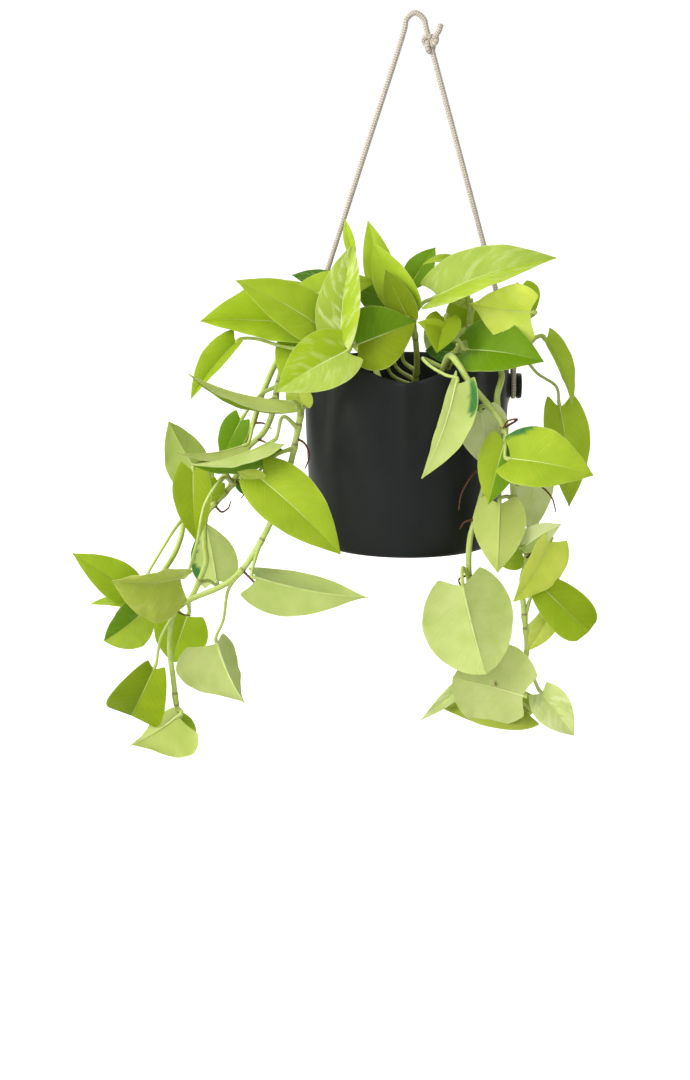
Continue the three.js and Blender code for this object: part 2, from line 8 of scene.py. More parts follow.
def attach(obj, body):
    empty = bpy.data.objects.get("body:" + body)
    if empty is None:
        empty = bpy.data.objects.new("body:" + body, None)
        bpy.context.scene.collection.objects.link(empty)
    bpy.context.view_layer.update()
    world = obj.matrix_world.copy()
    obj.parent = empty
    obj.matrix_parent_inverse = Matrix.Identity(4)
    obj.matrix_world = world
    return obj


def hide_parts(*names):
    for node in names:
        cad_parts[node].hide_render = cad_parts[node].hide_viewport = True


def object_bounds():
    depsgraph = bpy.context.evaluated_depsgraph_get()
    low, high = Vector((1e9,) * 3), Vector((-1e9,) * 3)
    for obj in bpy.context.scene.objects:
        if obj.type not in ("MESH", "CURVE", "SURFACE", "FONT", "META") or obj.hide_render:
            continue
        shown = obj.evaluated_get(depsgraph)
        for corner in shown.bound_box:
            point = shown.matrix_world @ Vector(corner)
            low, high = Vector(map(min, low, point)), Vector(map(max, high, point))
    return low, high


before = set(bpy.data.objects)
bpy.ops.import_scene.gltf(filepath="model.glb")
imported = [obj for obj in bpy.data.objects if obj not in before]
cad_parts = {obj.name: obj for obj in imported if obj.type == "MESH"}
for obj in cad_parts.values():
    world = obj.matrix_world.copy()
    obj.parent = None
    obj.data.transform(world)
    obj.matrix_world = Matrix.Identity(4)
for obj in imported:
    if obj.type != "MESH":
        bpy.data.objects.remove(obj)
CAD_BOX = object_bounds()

bl_info = {
    "name": "Golden Pothos in a Hanging Pot",
    "version": (1, 0, 0),
    "blender": (4, 5, 0),
    "location": "View3D > Sidebar > Pothos",
    "description": "Adds a trailing golden pothos, its moulded hanging pot, soil and braided rope",
    "category": "Object",
}

# Places are written in millimetres from the centre of the pot's underside, and the row's origin
# is the point that the rope hangs from.
HANG_POINT = np.array((5.0, 0.0, 453.0))
MM = 0.001


def in_row(places):
    return (np.asarray(places, float) - HANG_POINT) * MM


# Sizes and colours that a user would change


def length(name, description, millimetres, **more):
    return bpy.props.FloatProperty(
        name=name, description=description, default=millimetres * MM, unit="LENGTH",
        precision=4, **more,
    )


def share_of(name, description, value):
    return bpy.props.FloatProperty(
        name=name, description=description, default=value, min=0, max=1, subtype="FACTOR"
    )


def srgb(hex_code):
    return tuple(int(hex_code[i : i + 2], 16) / 255 for i in (1, 3, 5))


def linear(colour):
    """An sRGB colour, as a hex code or three shares, as the linear colour that shaders take."""
    values = srgb(colour) if isinstance(colour, str) else tuple(colour)
    return tuple(v / 12.92 if v <= 0.04045 else ((v + 0.055) / 1.055) ** 2.4 for v in values) + (1,)


def colour(name, description, hex_code):
    return bpy.props.FloatVectorProperty(
        name=name, description=description, default=srgb(hex_code), size=3, min=0, max=1,
        subtype="COLOR_GAMMA",
    )


POT_RADIUS = 90
POT_HEIGHT = 160


class PotSettings(bpy.types.PropertyGroup):
    radius: length("Radius", "Radius of the pot at its rim", POT_RADIUS)
    height: length("Height", "Height of the pot before its rim is waved", POT_HEIGHT)
    foot: length("Foot radius", "Radius of the flat foot", 76)
    soil_top: length("Soil height", "Height of the soil above the underside", 126)
    fold_depth: share_of("Fold depth", "How deep the soft folds of the wall are", 1.0)
    plastic: colour("Plastic", "Colour of the moulded plastic", "#141716")
    soil: colour("Soil", "Colour of the damp peat", "#2A1E16")
    bark: colour("Bark", "Colour of the bark chips", "#5A3D28")


class RopeSettings(bpy.types.PropertyGroup):
    diameter: length("Diameter", "Diameter of the braided rope", 4.5)
    braid_pitch: length("Braid pitch", "Rope in one full turn of a yarn", 17)
    light: colour("Light yarn", "Colour of the light yarn", "#DAD6CA")
    dark: colour("Dark yarn", "Colour of the dark yarn", "#A2917E")


class PlantSettings(bpy.types.PropertyGroup):
    stem: length("Stem radius", "Radius of a vine's stem", 2.8)
    petiole: length("Petiole radius", "Radius of a leaf's stalk", 1.35)
    blade: length("Blade thickness", "Thickness of a leaf's blade", 0.5)
    ruffle: share_of("Ruffle", "How much the margins of the leaves wave", 0.5)
    stem_colour: colour("Stem", "Colour of stems and stalks", "#B0C25C")
    root_colour: colour("Air roots", "Colour of the dry air roots", "#6B4428")


# Shader nodes


def connect(tree, socket, value):
    """Gives a socket a value, another socket, or the first socket in use of a node."""
    if isinstance(value, bpy.types.Node):
        value = next(output for output in value.outputs if output.enabled)
    if isinstance(value, bpy.types.NodeSocket):
        tree.links.new(value, socket)
    else:
        socket.default_value = value


def add(tree, kind, inputs=None, **settings):
    """Adds a node, with what each of its inputs takes, by name or number."""
    node = tree.nodes.new("ShaderNode" + kind)
    for name, value in settings.items():
        setattr(node, name, value)
    for name, value in (inputs or {}).items():
        connect(tree, node.inputs[name], value)
    return node


def new_material(name):
    """An empty material with its tree and a Principled shader wired to its output."""
    material = bpy.data.materials.new(name)
    material.use_nodes = True
    tree = material.node_tree
    tree.nodes.clear()
    shader = add(tree, "BsdfPrincipled")
    add(tree, "OutputMaterial", {"Surface": shader})
    return material, tree, shader


def set_shader(tree, shader, **sockets):
    for name, value in sockets.items():
        connect(tree, shader.inputs[name.replace("_", " ")], value)


# The side veins, alike in the leaf's relief and in its colours
SIDE_VEINS = 9.0
VEIN_SWEEP = 0.3
VEIN_BEND = 1.25


def waxy_leaf():
    """Living leaf with a waxy cuticle: soft gloss over sunken side veins, with paler and deeper
    splashes that run along the veins, as in a golden pothos."""
    material, tree, shader = new_material("waxy_pothos_leaf")
    tone = add(tree, "Attribute", attribute_name="tone")
    on_blade = add(tree, "Attribute", attribute_name="blade").outputs["Vector"]
    blade = add(tree, "SeparateXYZ", {0: on_blade})
    marks = add(tree, "Attribute", attribute_name="mark").outputs["Vector"]
    mark = add(tree, "SeparateXYZ", {0: marks})
    along, across, seed = blade.outputs[0], blade.outputs[1], blade.outputs[2]
    aside = add(tree, "Math", {0: across}, operation="ABSOLUTE")
    swept = add(tree, "Math", {0: aside, 1: VEIN_BEND}, operation="POWER")
    order = add(tree, "Math", {0: swept, 1: -VEIN_SWEEP, 2: along}, operation="MULTIPLY_ADD")
    side_veins = add(tree, "Math", {0: order, 1: SIDE_VEINS}, operation="MULTIPLY")
    wave = add(tree, "Math", {0: side_veins, 1: 0.5}, operation="PINGPONG")
    vein = add(tree, "MapRange", {0: wave, 1: 0.4, 2: 0.5}, interpolation_type="SMOOTHSTEP")
    fine_veins = add(tree, "Math", {0: order, 1: 52.0}, operation="MULTIPLY")
    striation = add(tree, "Math", {0: fine_veins, 1: 0.5}, operation="PINGPONG")
    rib = add(tree, "MapRange", {0: aside, 1: 0.045, 2: 0.0}, interpolation_type="SMOOTHSTEP")
    margin = add(tree, "MapRange", {0: aside, 1: 0.95, 2: 1.0})

    # splashes: long along the side veins and narrow across them, another set on every leaf
    half = add(tree, "Math", {0: across}, operation="SIGN")
    offset = add(tree, "Math", {0: seed, 1: 7.3, 2: half}, operation="MULTIPLY_ADD")
    order_wide = add(tree, "Math", {0: order, 1: 11.0}, operation="MULTIPLY")
    aside_wide = add(tree, "Math", {0: aside, 1: 1.4}, operation="MULTIPLY")
    flow = add(tree, "CombineXYZ", {0: order_wide, 1: aside_wide, 2: offset})
    splash = add(tree, "TexNoise", {"Vector": flow, "Scale": 1.0, "Detail": 4.0, "Roughness": 0.6})
    flow_low = add(tree, "VectorMath", {0: flow, 1: (0.45, 0.8, 1.0)}, operation="MULTIPLY")
    patch = add(tree, "TexNoise", {"Vector": flow_low, "Scale": 1.0, "Detail": 3.0})
    creamy = add(tree, "MapRange", {0: splash, 1: 0.5, 2: 0.62})
    deep = add(tree, "MapRange", {0: patch, 1: 0.56, 2: 0.68})

    # slow drift of the green over the blade, about 25 mm from light to dark
    spot = add(tree, "TexCoord").outputs["Object"]
    drift = add(tree, "TexNoise", {"Vector": spot, "Scale": 42.0, "Detail": 2.0})
    drift_share = add(tree, "MapRange", {0: drift, 1: 0.35, 2: 0.7, 3: 0.0, 4: 0.5})
    darker = add(tree, "Mix", {0: 1.0, 6: tone, 7: linear("#D5E0B0")},
                 data_type="RGBA", blend_type="MULTIPLY")
    green = add(tree, "Mix", {0: drift_share, 6: tone, 7: darker}, data_type="RGBA")

    # coats over the green: where each lies, how strong it is and its colour
    for mask, strength, coat in (
        (striation, 0.12, darker),
        (creamy, mark.outputs[1], linear("#DDE5AC")),
        (deep, mark.outputs[0], linear("#4F7A22")),
        (vein, 0.05, linear("#D3E08A")),
        (rib, 0.2, linear("#D0DE86")),
        (margin, 0.25, linear("#DCE79A")),
        (mark.outputs[2], 1.0, linear("#6A4A22")),
    ):
        share = add(tree, "Math", {0: mask, 1: strength}, operation="MULTIPLY")
        green = add(tree, "Mix", {0: share, 6: green, 7: coat}, data_type="RGBA")

    relief = add(tree, "Math", {0: vein, 1: -0.6, 2: striation}, operation="MULTIPLY_ADD")
    bump = add(tree, "Bump", {"Height": relief, "Strength": 0.35, "Distance": 0.0006})
    gloss = add(tree, "MapRange", {0: drift, 1: 0.3, 2: 0.7, 3: 0.42, 4: 0.56})
    set_shader(tree, shader, Base_Color=green, Roughness=gloss, IOR=1.45, Normal=bump,
               Specular_IOR_Level=0.15, Subsurface_Weight=0.12, Subsurface_Scale=0.003,
               Subsurface_Radius=(0.6, 1.0, 0.15))
    return material


def juicy_stem():
    """Green stem skin: smooth and faintly ribbed lengthwise, with paler streaks along the ribs, darker
    blotches and dry brown lines where the old leaf sheaths have papered off."""
    material, tree, shader = new_material("juicy_stem")
    tone = add(tree, "Attribute", attribute_name="tone")
    on_blade = add(tree, "Attribute", attribute_name="blade").outputs["Vector"]
    blade = add(tree, "SeparateXYZ", {0: on_blade})
    marks = add(tree, "Attribute", attribute_name="mark").outputs["Vector"]
    mark = add(tree, "SeparateXYZ", {0: marks})
    spot = add(tree, "TexCoord").outputs["Object"]
    ribs_flow = add(tree, "CombineXYZ", {
        0: add(tree, "Math", {0: blade.outputs[0], 1: 0.02}, operation="MULTIPLY"),
        1: add(tree, "Math", {0: blade.outputs[1], 1: 9.0}, operation="MULTIPLY"),
        2: blade.outputs[2],
    })
    ribs = add(tree, "TexNoise", {"Vector": ribs_flow, "Scale": 1.0, "Detail": 2.0})
    blotch = add(tree, "TexNoise", {"Vector": spot, "Scale": 120.0, "Detail": 3.0})
    pale_share = add(tree, "MapRange", {0: ribs, 1: 0.45, 2: 0.65, 3: 0.0, 4: 0.5})
    dark_share = add(tree, "MapRange", {0: blotch, 1: 0.5, 2: 0.75, 3: 0.0, 4: 0.4})
    skin = tone
    for share, coat in ((pale_share, "#DDE8A4"), (dark_share, "#8FAA3A"), (mark.outputs[2], "#6B4A2C")):
        skin = add(tree, "Mix", {0: share, 6: skin, 7: linear(coat)}, data_type="RGBA")
    bump = add(tree, "Bump", {"Height": ribs, "Strength": 0.3, "Distance": 0.0005})
    set_shader(tree, shader, Base_Color=skin, Roughness=0.42, IOR=1.42, Normal=bump,
               Subsurface_Weight=0.15, Subsurface_Scale=0.003)
    return material


def dry_root(plant):
    """Dried air root: brown, dull and wrinkled round its length."""
    material, tree, shader = new_material("dry_air_root")
    spot = add(tree, "TexCoord").outputs["Object"]
    wrinkles = add(tree, "TexNoise", {"Vector": spot, "Scale": 700.0, "Detail": 4.0})
    shade = add(tree, "MapRange", {0: wrinkles, 1: 0.3, 2: 0.7})
    brown = add(tree, "Mix", {0: shade, 6: linear("#3E2716"), 7: linear(plant.root_colour)},
                data_type="RGBA")
    bump = add(tree, "Bump", {"Height": wrinkles, "Strength": 0.6, "Distance": 0.0004})
    set_shader(tree, shader, Base_Color=brown, Roughness=0.85, Normal=bump)
    return material


def moulded_plastic(pot):
    """Injection-moulded polypropylene with a satin spark-eroded texture: an even dark grey with a
    soft sheen, slightly cloudy where it has been handled."""
    material, tree, shader = new_material("satin_polypropylene")
    spot = add(tree, "TexCoord").outputs["Object"]
    # the real grain is about 0.1 mm, drawn at 0.5 mm so that it shows
    grain = add(tree, "TexNoise", {"Vector": spot, "Scale": 2000.0, "Detail": 2.0})
    cloud = add(tree, "TexNoise", {"Vector": spot, "Scale": 28.0, "Detail": 4.0, "Roughness": 0.6})
    streaks_flow = add(tree, "VectorMath", {0: spot, 1: (160.0, 160.0, 9.0)}, operation="MULTIPLY")
    streaks = add(tree, "TexNoise", {"Vector": streaks_flow, "Scale": 1.0, "Detail": 3.0})
    scuffs = add(tree, "TexVoronoi", {"Vector": spot, "Scale": 34.0})
    scuffed = add(tree, "MapRange", {0: scuffs, 1: 0.03, 2: 0.015})
    tint_share = add(tree, "MapRange", {0: cloud, 1: 0.35, 2: 0.7, 3: 0.0, 4: 0.5})
    clouded = add(tree, "Mix", {0: tint_share, 6: linear(pot.plastic), 7: linear("#1A1E1D")},
                  data_type="RGBA")
    speck_share = add(tree, "Math", {0: scuffed, 1: 0.35}, operation="MULTIPLY")
    specked = add(tree, "Mix", {0: speck_share, 6: clouded, 7: linear("#3C403E")},
                  data_type="RGBA")
    gloss_sum = add(tree, "Math", {0: cloud, 1: 0.5, 2: streaks}, operation="MULTIPLY_ADD")
    gloss = add(tree, "MapRange", {0: gloss_sum, 1: 0.5, 2: 1.0, 3: 0.34, 4: 0.46})
    bump = add(tree, "Bump", {"Height": grain, "Strength": 0.25, "Distance": 0.0002})
    set_shader(tree, shader, Base_Color=specked, Roughness=gloss, IOR=1.49, Normal=bump,
               Specular_IOR_Level=0.22)
    return material


def braided_yarn(rope):
    """Polyester and cotton braid: two sets of yarns cross over and under, one light and one dark,
    dull, with fine twisted fibres along each yarn."""
    material, tree, shader = new_material("braided_cotton_yarn")
    lay = add(tree, "SeparateXYZ", {0: add(tree, "UVMap", uv_map="braid")})
    one = add(tree, "Math", {0: lay.outputs[0], 1: lay.outputs[1]}, operation="ADD")
    other = add(tree, "Math", {0: lay.outputs[0], 1: lay.outputs[1]}, operation="SUBTRACT")
    one_turn = add(tree, "Math", {0: one, 1: math.pi}, operation="MULTIPLY")
    other_turn = add(tree, "Math", {0: other, 1: math.pi}, operation="MULTIPLY")
    one_wave = add(tree, "Math", {0: one_turn}, operation="SINE")
    other_wave = add(tree, "Math", {0: other_turn}, operation="SINE")
    over = add(tree, "Math", {0: one_wave, 1: other_wave}, operation="MULTIPLY")
    on_top = add(tree, "MapRange", {0: over, 1: -0.08, 2: 0.08})
    # noise laid out along both sets of yarns, far coarser than real fibres so that it shows
    fibre_flow = add(tree, "CombineXYZ", {0: one, 1: other})
    fibres = add(tree, "TexNoise", {"Vector": fibre_flow, "Scale": 6.0, "Detail": 3.0})
    fuzz = add(tree, "MapRange", {0: fibres, 1: 0.3, 2: 0.7, 3: 0.0, 4: 0.45})
    yarn = add(tree, "Mix", {0: on_top, 6: linear(rope.light), 7: linear(rope.dark)},
               data_type="RGBA")
    fuzzy = add(tree, "Mix", {0: fuzz, 6: yarn, 7: linear("#C9C0AE")}, data_type="RGBA")
    # painted shade: the yarn colour darkens towards #6F6454 in the grooves between the crossing yarns
    groove = add(tree, "Math", {0: over}, operation="ABSOLUTE")
    painted_groove_shade = add(tree, "MapRange", {0: groove, 1: 0.0, 2: 0.3, 3: 0.45, 4: 0.0})
    shaded = add(tree, "Mix", {0: painted_groove_shade, 6: fuzzy, 7: linear("#6F6454")}, data_type="RGBA")
    bump = add(tree, "Bump", {"Height": fibres, "Strength": 0.4, "Distance": 0.0003})
    set_shader(tree, shader, Base_Color=shaded, Roughness=0.85, Normal=bump, Sheen_Weight=0.2)
    return material


def damp_peat(pot):
    """Damp potting peat: near black, crumbly, with flecks of fibre."""
    material, tree, shader = new_material("damp_peat")
    spot = add(tree, "TexCoord").outputs["Object"]
    crumbs = add(tree, "TexNoise", {"Vector": spot, "Scale": 450.0, "Detail": 6.0, "Roughness": 0.7})
    clods = add(tree, "TexVoronoi", {"Vector": spot, "Scale": 260.0})
    light_share = add(tree, "MapRange", {0: crumbs, 1: 0.45, 2: 0.75})
    peat = add(tree, "Mix", {0: light_share, 6: linear(pot.soil), 7: linear("#4A3424")},
               data_type="RGBA")
    height = add(tree, "Math", {0: crumbs, 1: clods}, operation="ADD")
    bump = add(tree, "Bump", {"Height": height, "Strength": 0.9, "Distance": 0.0015})
    set_shader(tree, shader, Base_Color=peat, Roughness=0.95, Normal=bump)
    return material


def pine_bark(pot):
    """Chips of pine bark: brown, split along the grain, dull."""
    material, tree, shader = new_material("pine_bark")
    spot = add(tree, "TexCoord").outputs["Object"]
    grain_flow = add(tree, "VectorMath", {0: spot, 1: (900.0, 260.0, 500.0)}, operation="MULTIPLY")
    grain = add(tree, "TexNoise", {"Vector": grain_flow, "Scale": 1.0, "Detail": 4.0})
    shade = add(tree, "MapRange", {0: grain, 1: 0.3, 2: 0.7})
    brown = add(tree, "Mix", {0: shade, 6: linear("#33221A"), 7: linear(pot.bark)},
                data_type="RGBA")
    bump = add(tree, "Bump", {"Height": grain, "Strength": 0.7, "Distance": 0.001})
    set_shader(tree, shader, Base_Color=brown, Roughness=0.9, Normal=bump)
    return material


def matt_backdrop():
    """Matt pale studio board with the slight tooth of paper, seen a little lighter than it is."""
    material, tree, shader = new_material("matt_white_board")
    spot = add(tree, "TexCoord").outputs["Object"]
    tooth = add(tree, "TexNoise", {"Vector": spot, "Scale": 60.0, "Detail": 3.0})
    pale = add(tree, "Mix", {0: tooth, 6: linear("#DCDCDA"), 7: linear("#E0E0DE")},
               data_type="RGBA")
    seen = add(tree, "LightPath").outputs["Is Camera Ray"]
    lift = add(tree, "Math", {0: seen, 1: 0.6}, operation="MULTIPLY")
    set_shader(tree, shader, Base_Color=pale, Roughness=0.95, Emission_Color=linear("#FFFFFF"),
               Emission_Strength=lift)
    return material


# Shared shaping


def smooth(low, high, value):
    t = np.clip((value - low) / (high - low), 0, 1)
    return t * t * (3 - 2 * t)


def hump(value, centre, width):
    return np.exp(-(((value - centre) / width) ** 2))


def through(points, shares):
    """Places on the centripetal Catmull-Rom curve through points, at shares of their order."""
    points = np.asarray(points, float)
    last = len(points) - 1
    before, after = 2 * points[0] - points[1], 2 * points[-1] - points[-2]
    padded = np.vstack((before, points, after))
    placed = []
    for share in np.atleast_1d(shares):
        order = min(int(share * last), last - 1)
        t = share * last - order
        p0, p1, p2, p3 = padded[order : order + 4]
        d0, d1, d2 = (np.linalg.norm(b - a) ** 0.5 for a, b in ((p0, p1), (p1, p2), (p2, p3)))
        m1 = ((p1 - p0) / d0 - (p2 - p0) / (d0 + d1) + (p2 - p1) / d1) * d1
        m2 = ((p2 - p1) / d1 - (p3 - p1) / (d1 + d2) + (p3 - p2) / d2) * d1
        c2 = -3 * p1 + 3 * p2 - 2 * m1 - m2
        c3 = 2 * p1 - 2 * p2 + m1 + m2
        placed.append(p1 + m1 * t + c2 * t * t + c3 * t ** 3)
    return np.array(placed)


def evenly(points, step):
    """Places a step apart along the curve through points, and how far along each is."""
    dense = through(points, np.linspace(0, 1, 24 * (len(points) - 1) + 1))
    run = np.concatenate(([0], np.cumsum(np.linalg.norm(np.diff(dense, axis=0), axis=1))))
    places = np.linspace(0, run[-1], max(3, int(run[-1] / step)) + 1)
    return np.column_stack([np.interp(places, run, dense[:, i]) for i in range(3)]), places


def pipe(centres, radii, sides):
    """Rings of corners round a line of centres, and the faces that close them, pointing out."""
    tangents = np.gradient(centres, axis=0)
    tangents /= np.linalg.norm(tangents, axis=1)[:, None]
    across = np.array((1.0, 0.0, 0.0))
    if abs(across @ tangents[0]) > 0.9:
        across = np.array((0.0, 1.0, 0.0))
    turns = np.arange(sides) * 2 * math.pi / sides
    rings = []
    for centre, tangent, radius in zip(centres, tangents, radii):
        across = across - tangent * (across @ tangent)
        across /= np.linalg.norm(across)
        other = np.cross(tangent, across)
        size = np.broadcast_to(radius, sides)[:, None]
        rings.append(centre + size * (np.cos(turns)[:, None] * across + np.sin(turns)[:, None] * other))
    corner = np.arange(len(centres) * sides).reshape(len(centres), sides)
    beside = np.roll(corner, -1, axis=1)
    faces = np.stack((corner[:-1], beside[:-1], beside[1:], corner[1:]), axis=-1)
    faces = faces.reshape(-1, 4).tolist()
    faces.append(corner[0][::-1].tolist())
    faces.append(corner[-1].tolist())
    return np.vstack(rings), faces


def finish_piece(piece, node, materials):
    """Dresses a piece, sets it to ride with the row's body, and puts it in its node's place."""
    for material in materials:
        piece.data.materials.append(material)
    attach(piece, "root")
    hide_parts(node)
    return piece


def mesh_piece(name, places, faces):
    mesh = bpy.data.meshes.new(name)
    mesh.from_pydata(in_row(places).tolist(), [], faces)
    mesh.polygons.foreach_set("use_smooth", [True] * len(mesh.polygons))
    piece = bpy.data.objects.new(name, mesh)
    bpy.context.scene.collection.objects.link(piece)
    return piece


def turned_piece(name, profile, segments):
    """A round piece drawn up from a disc: each ring of the profile, (radius, height) in
    millimetres, is extruded from the one before it and scaled."""
    bpy.ops.object.select_all(action="DESELECT")
    radius, height = profile[0]
    bpy.ops.mesh.primitive_circle_add(
        vertices=segments, radius=radius * MM, fill_type="NGON", location=(0, 0, height * MM)
    )
    piece = bpy.context.active_object
    piece.name = piece.data.name = name
    bpy.ops.object.transform_apply(location=True, rotation=True, scale=True)
    bpy.ops.object.mode_set(mode="EDIT")
    bpy.ops.mesh.select_all(action="SELECT")
    for next_radius, next_height in profile[1:]:
        rise = (next_height - height) * MM
        bpy.ops.mesh.extrude_region_move(TRANSFORM_OT_translate={"value": (0, 0, rise)})
        grow = next_radius / radius
        bpy.ops.transform.resize(value=(grow, grow, 1), center_override=(0, 0, next_height * MM))
        radius, height = next_radius, next_height
    bpy.ops.mesh.select_all(action="SELECT")
    bpy.ops.mesh.normals_make_consistent(inside=False)
    bpy.ops.object.mode_set(mode="OBJECT")
    return piece


def corners_of(piece):
    places = np.empty(3 * len(piece.data.vertices))
    piece.data.vertices.foreach_get("co", places)
    return places.reshape(-1, 3)


def move_corners(piece, places):
    piece.data.vertices.foreach_set("co", np.asarray(places, float).ravel())
    piece.data.update()


def join_into(piece, others, crease):
    """Joins pieces drawn from the pot's underside, shades them smooth but for creases over an angle
    in degrees, and brings them into the row's frame."""
    bpy.ops.object.select_all(action="DESELECT")
    for each in (*others, piece):
        each.select_set(True)
    bpy.context.view_layer.objects.active = piece
    bpy.ops.object.join()
    bpy.ops.object.shade_smooth_by_angle(angle=math.radians(crease))
    move_corners(piece, corners_of(piece) - HANG_POINT * MM)


# Stage and camera

CAMERA_PLACE = (0, -1500, 326)
CAMERA_AIM = (-54.3, 0, -1.1)
CAMERA_LENS = 56.7
SENSOR_WIDTH = 36
FLOOR_DROP = 0.03  # metres from the lowest leaf to the floor
FLOOR_SIZE = 40  # metres
GLOW_LEFT, GLOW_RIGHT, GLOW_WALL = 1.55, 0.12, 1.0
LIGHTS_AIM = (-0.05, 0, -0.35)
# place and size in metres, and watts
LIGHTS = {
    "key": ((-1.4, -1.4, 0.8), (1.0, 1.4), 29),
    "fill": ((1.2, -1.7, 0.7), (1.0, 1.2), 2),
    "strip": ((-1.6, -0.4, -0.4), (0.4, 1.0), 4),
    "back": ((0.4, 1.6, 0.9), (1.4, 1.0), 12),
}


class POTHOS_OT_stage(bpy.types.Operator):
    """Adds the pale floor, the soft studio lights and the camera"""

    bl_idname = "pothos.add_stage"
    bl_label = "Stage"

    def soft_light(self, name, place, size, watts):
        lamp = bpy.data.lights.new(name, "AREA")
        lamp.shape = "RECTANGLE"
        lamp.size, lamp.size_y = size
        lamp.energy = watts
        light = bpy.data.objects.new(name, lamp)
        light.location = place
        light.rotation_euler = (Vector(LIGHTS_AIM) - Vector(place)).to_track_quat("-Z", "Y").to_euler()
        bpy.context.scene.collection.objects.link(light)

    def execute(self, context):
        scene = context.scene
        lens = bpy.data.cameras.new("camera")
        lens.lens = CAMERA_LENS
        lens.sensor_width = SENSOR_WIDTH
        camera = bpy.data.objects.new("camera", lens)
        place, aim = in_row(CAMERA_PLACE), in_row(CAMERA_AIM)
        camera.location = place
        camera.rotation_euler = Vector(aim - place).to_track_quat("-Z", "Y").to_euler()
        scene.collection.objects.link(camera)
        scene.camera = camera
        scene.view_settings.view_transform = "Standard"

        bpy.ops.object.select_all(action="DESELECT")
        bpy.ops.mesh.primitive_plane_add(size=FLOOR_SIZE, location=(0, 0, CAD_BOX[0][2] - FLOOR_DROP))
        floor = context.active_object
        floor.name = "floor"
        bpy.ops.object.transform_apply(location=True, rotation=True, scale=True)
        floor.data.materials.append(matt_backdrop())

        # the studio is lit softly, most from its left, and its far wall is seen as an even white
        world = bpy.data.worlds.new("studio")
        world.use_nodes = True
        tree = world.node_tree
        tree.nodes.clear()
        way = add(tree, "SeparateXYZ", {0: add(tree, "TexCoord").outputs["Generated"]})
        glow = add(tree, "MapRange", {0: way, 1: -1.0, 2: 1.0, 3: GLOW_LEFT, 4: GLOW_RIGHT})
        around = add(tree, "Background", {"Color": (1, 1, 1, 1), "Strength": glow})
        wall = add(tree, "Background", {"Color": (1, 1, 1, 1), "Strength": GLOW_WALL})
        seen = add(tree, "LightPath").outputs["Is Camera Ray"]
        studio = add(tree, "MixShader", {0: seen, 1: around, 2: wall})
        add(tree, "OutputWorld", {"Surface": studio})
        scene.world = world
        for name, (place, size, watts) in LIGHTS.items():
            self.soft_light(name, place, size, watts)
        return {"FINISHED"}


# Rope and knot

SPOOL_HEIGHT = 139.5
SPOOL_CORE = 6.4
ROPE_SIDE = 94.1  # from the pot's middle to the groove of a spool
TOP_BEND = ((-3.6, 0, 443), (-2.2, 0, 450), (5, 0, 455.25), (12.4, 0, 450), (14.4, 0, 443))
YARNS = 8  # yarns that turn each way
BRAID_SIDES = 32
BRAID_STEP = 0.55
# the braid's radius in its grooves, and what the crossings add, as shares of the rope's
BRAID_GROOVE, BRAID_CROSSING = 0.9, 0.16
EYE_SLACK = 0.6  # between the spool's core and the rope round it
KNOT_MIDDLE = (18, 0, 431)
KNOT_TAIL = ((20, -2, 433), (25, -4, 440), (27, -5, 446))


def eye_route(side, radius):
    """The rope's end beside a spool, round under the spool and up to the strand."""
    x = side * ROPE_SIDE
    turn = radius + SPOOL_CORE + EYE_SLACK
    route = [(x, 4.6, SPOOL_HEIGHT + 27), (x, 6.4, SPOOL_HEIGHT + 14)]
    for angle in range(30, -211, -30):
        c, s = math.cos(math.radians(angle)), math.sin(math.radians(angle))
        route.append((x, turn * c, SPOOL_HEIGHT + turn * s))
    return route + [(x, -5, SPOOL_HEIGHT + 14), (x, -1.4, SPOOL_HEIGHT + 20)]


def strand_route(side, top):
    """The straight run of the rope from its eye to one end of the top bend."""
    bent = np.array((side * (ROPE_SIDE - 2), 0, SPOOL_HEIGHT + 32))
    rest = [bent + share * (np.array(top) - bent) for share in (0.25, 0.6)]
    return [tuple(bent)] + [tuple(place) for place in rest]


def rope_route(radius):
    left = eye_route(-1, radius) + strand_route(-1, TOP_BEND[0])
    right = eye_route(1, radius) + strand_route(1, TOP_BEND[-1])
    return left + list(TOP_BEND) + right[::-1]


def braid(name, route, rope):
    """A tube with the relief of its crossing yarns, and the course of the yarns as its UV map."""
    radius, pitch = rope.diameter / 2 / MM, rope.braid_pitch / MM
    sides = BRAID_SIDES
    centres, run = evenly(route, BRAID_STEP)
    turn = np.arange(sides) / sides
    one = YARNS * turn[None, :] + YARNS * run[:, None] / pitch
    other = YARNS * turn[None, :] - YARNS * run[:, None] / pitch
    over = np.abs(np.sin(math.pi * one) * np.sin(math.pi * other))
    radii = radius * (BRAID_GROOVE + BRAID_CROSSING * over ** 0.6)
    end = np.minimum(run, run[-1] - run)
    radii *= np.sqrt(np.clip(end[:, None] / 1.2 + 0.25, 0, 1))
    places, faces = pipe(centres, radii, sides)
    piece = mesh_piece(name, places, faces)
    layer = piece.data.uv_layers.new(name="braid")
    lays = []
    for face in faces:
        if len(face) > 4:
            lays += [(0.5, 0.5)] * len(face)
            continue
        first = face[0] % sides
        for corner in face:
            ring, side = divmod(corner, sides)
            side += sides if side < first else 0
            lays.append((YARNS * side / sides, YARNS * run[ring] / pitch))
    layer.data.foreach_set("uv", np.array(lays).ravel())
    return piece, centres


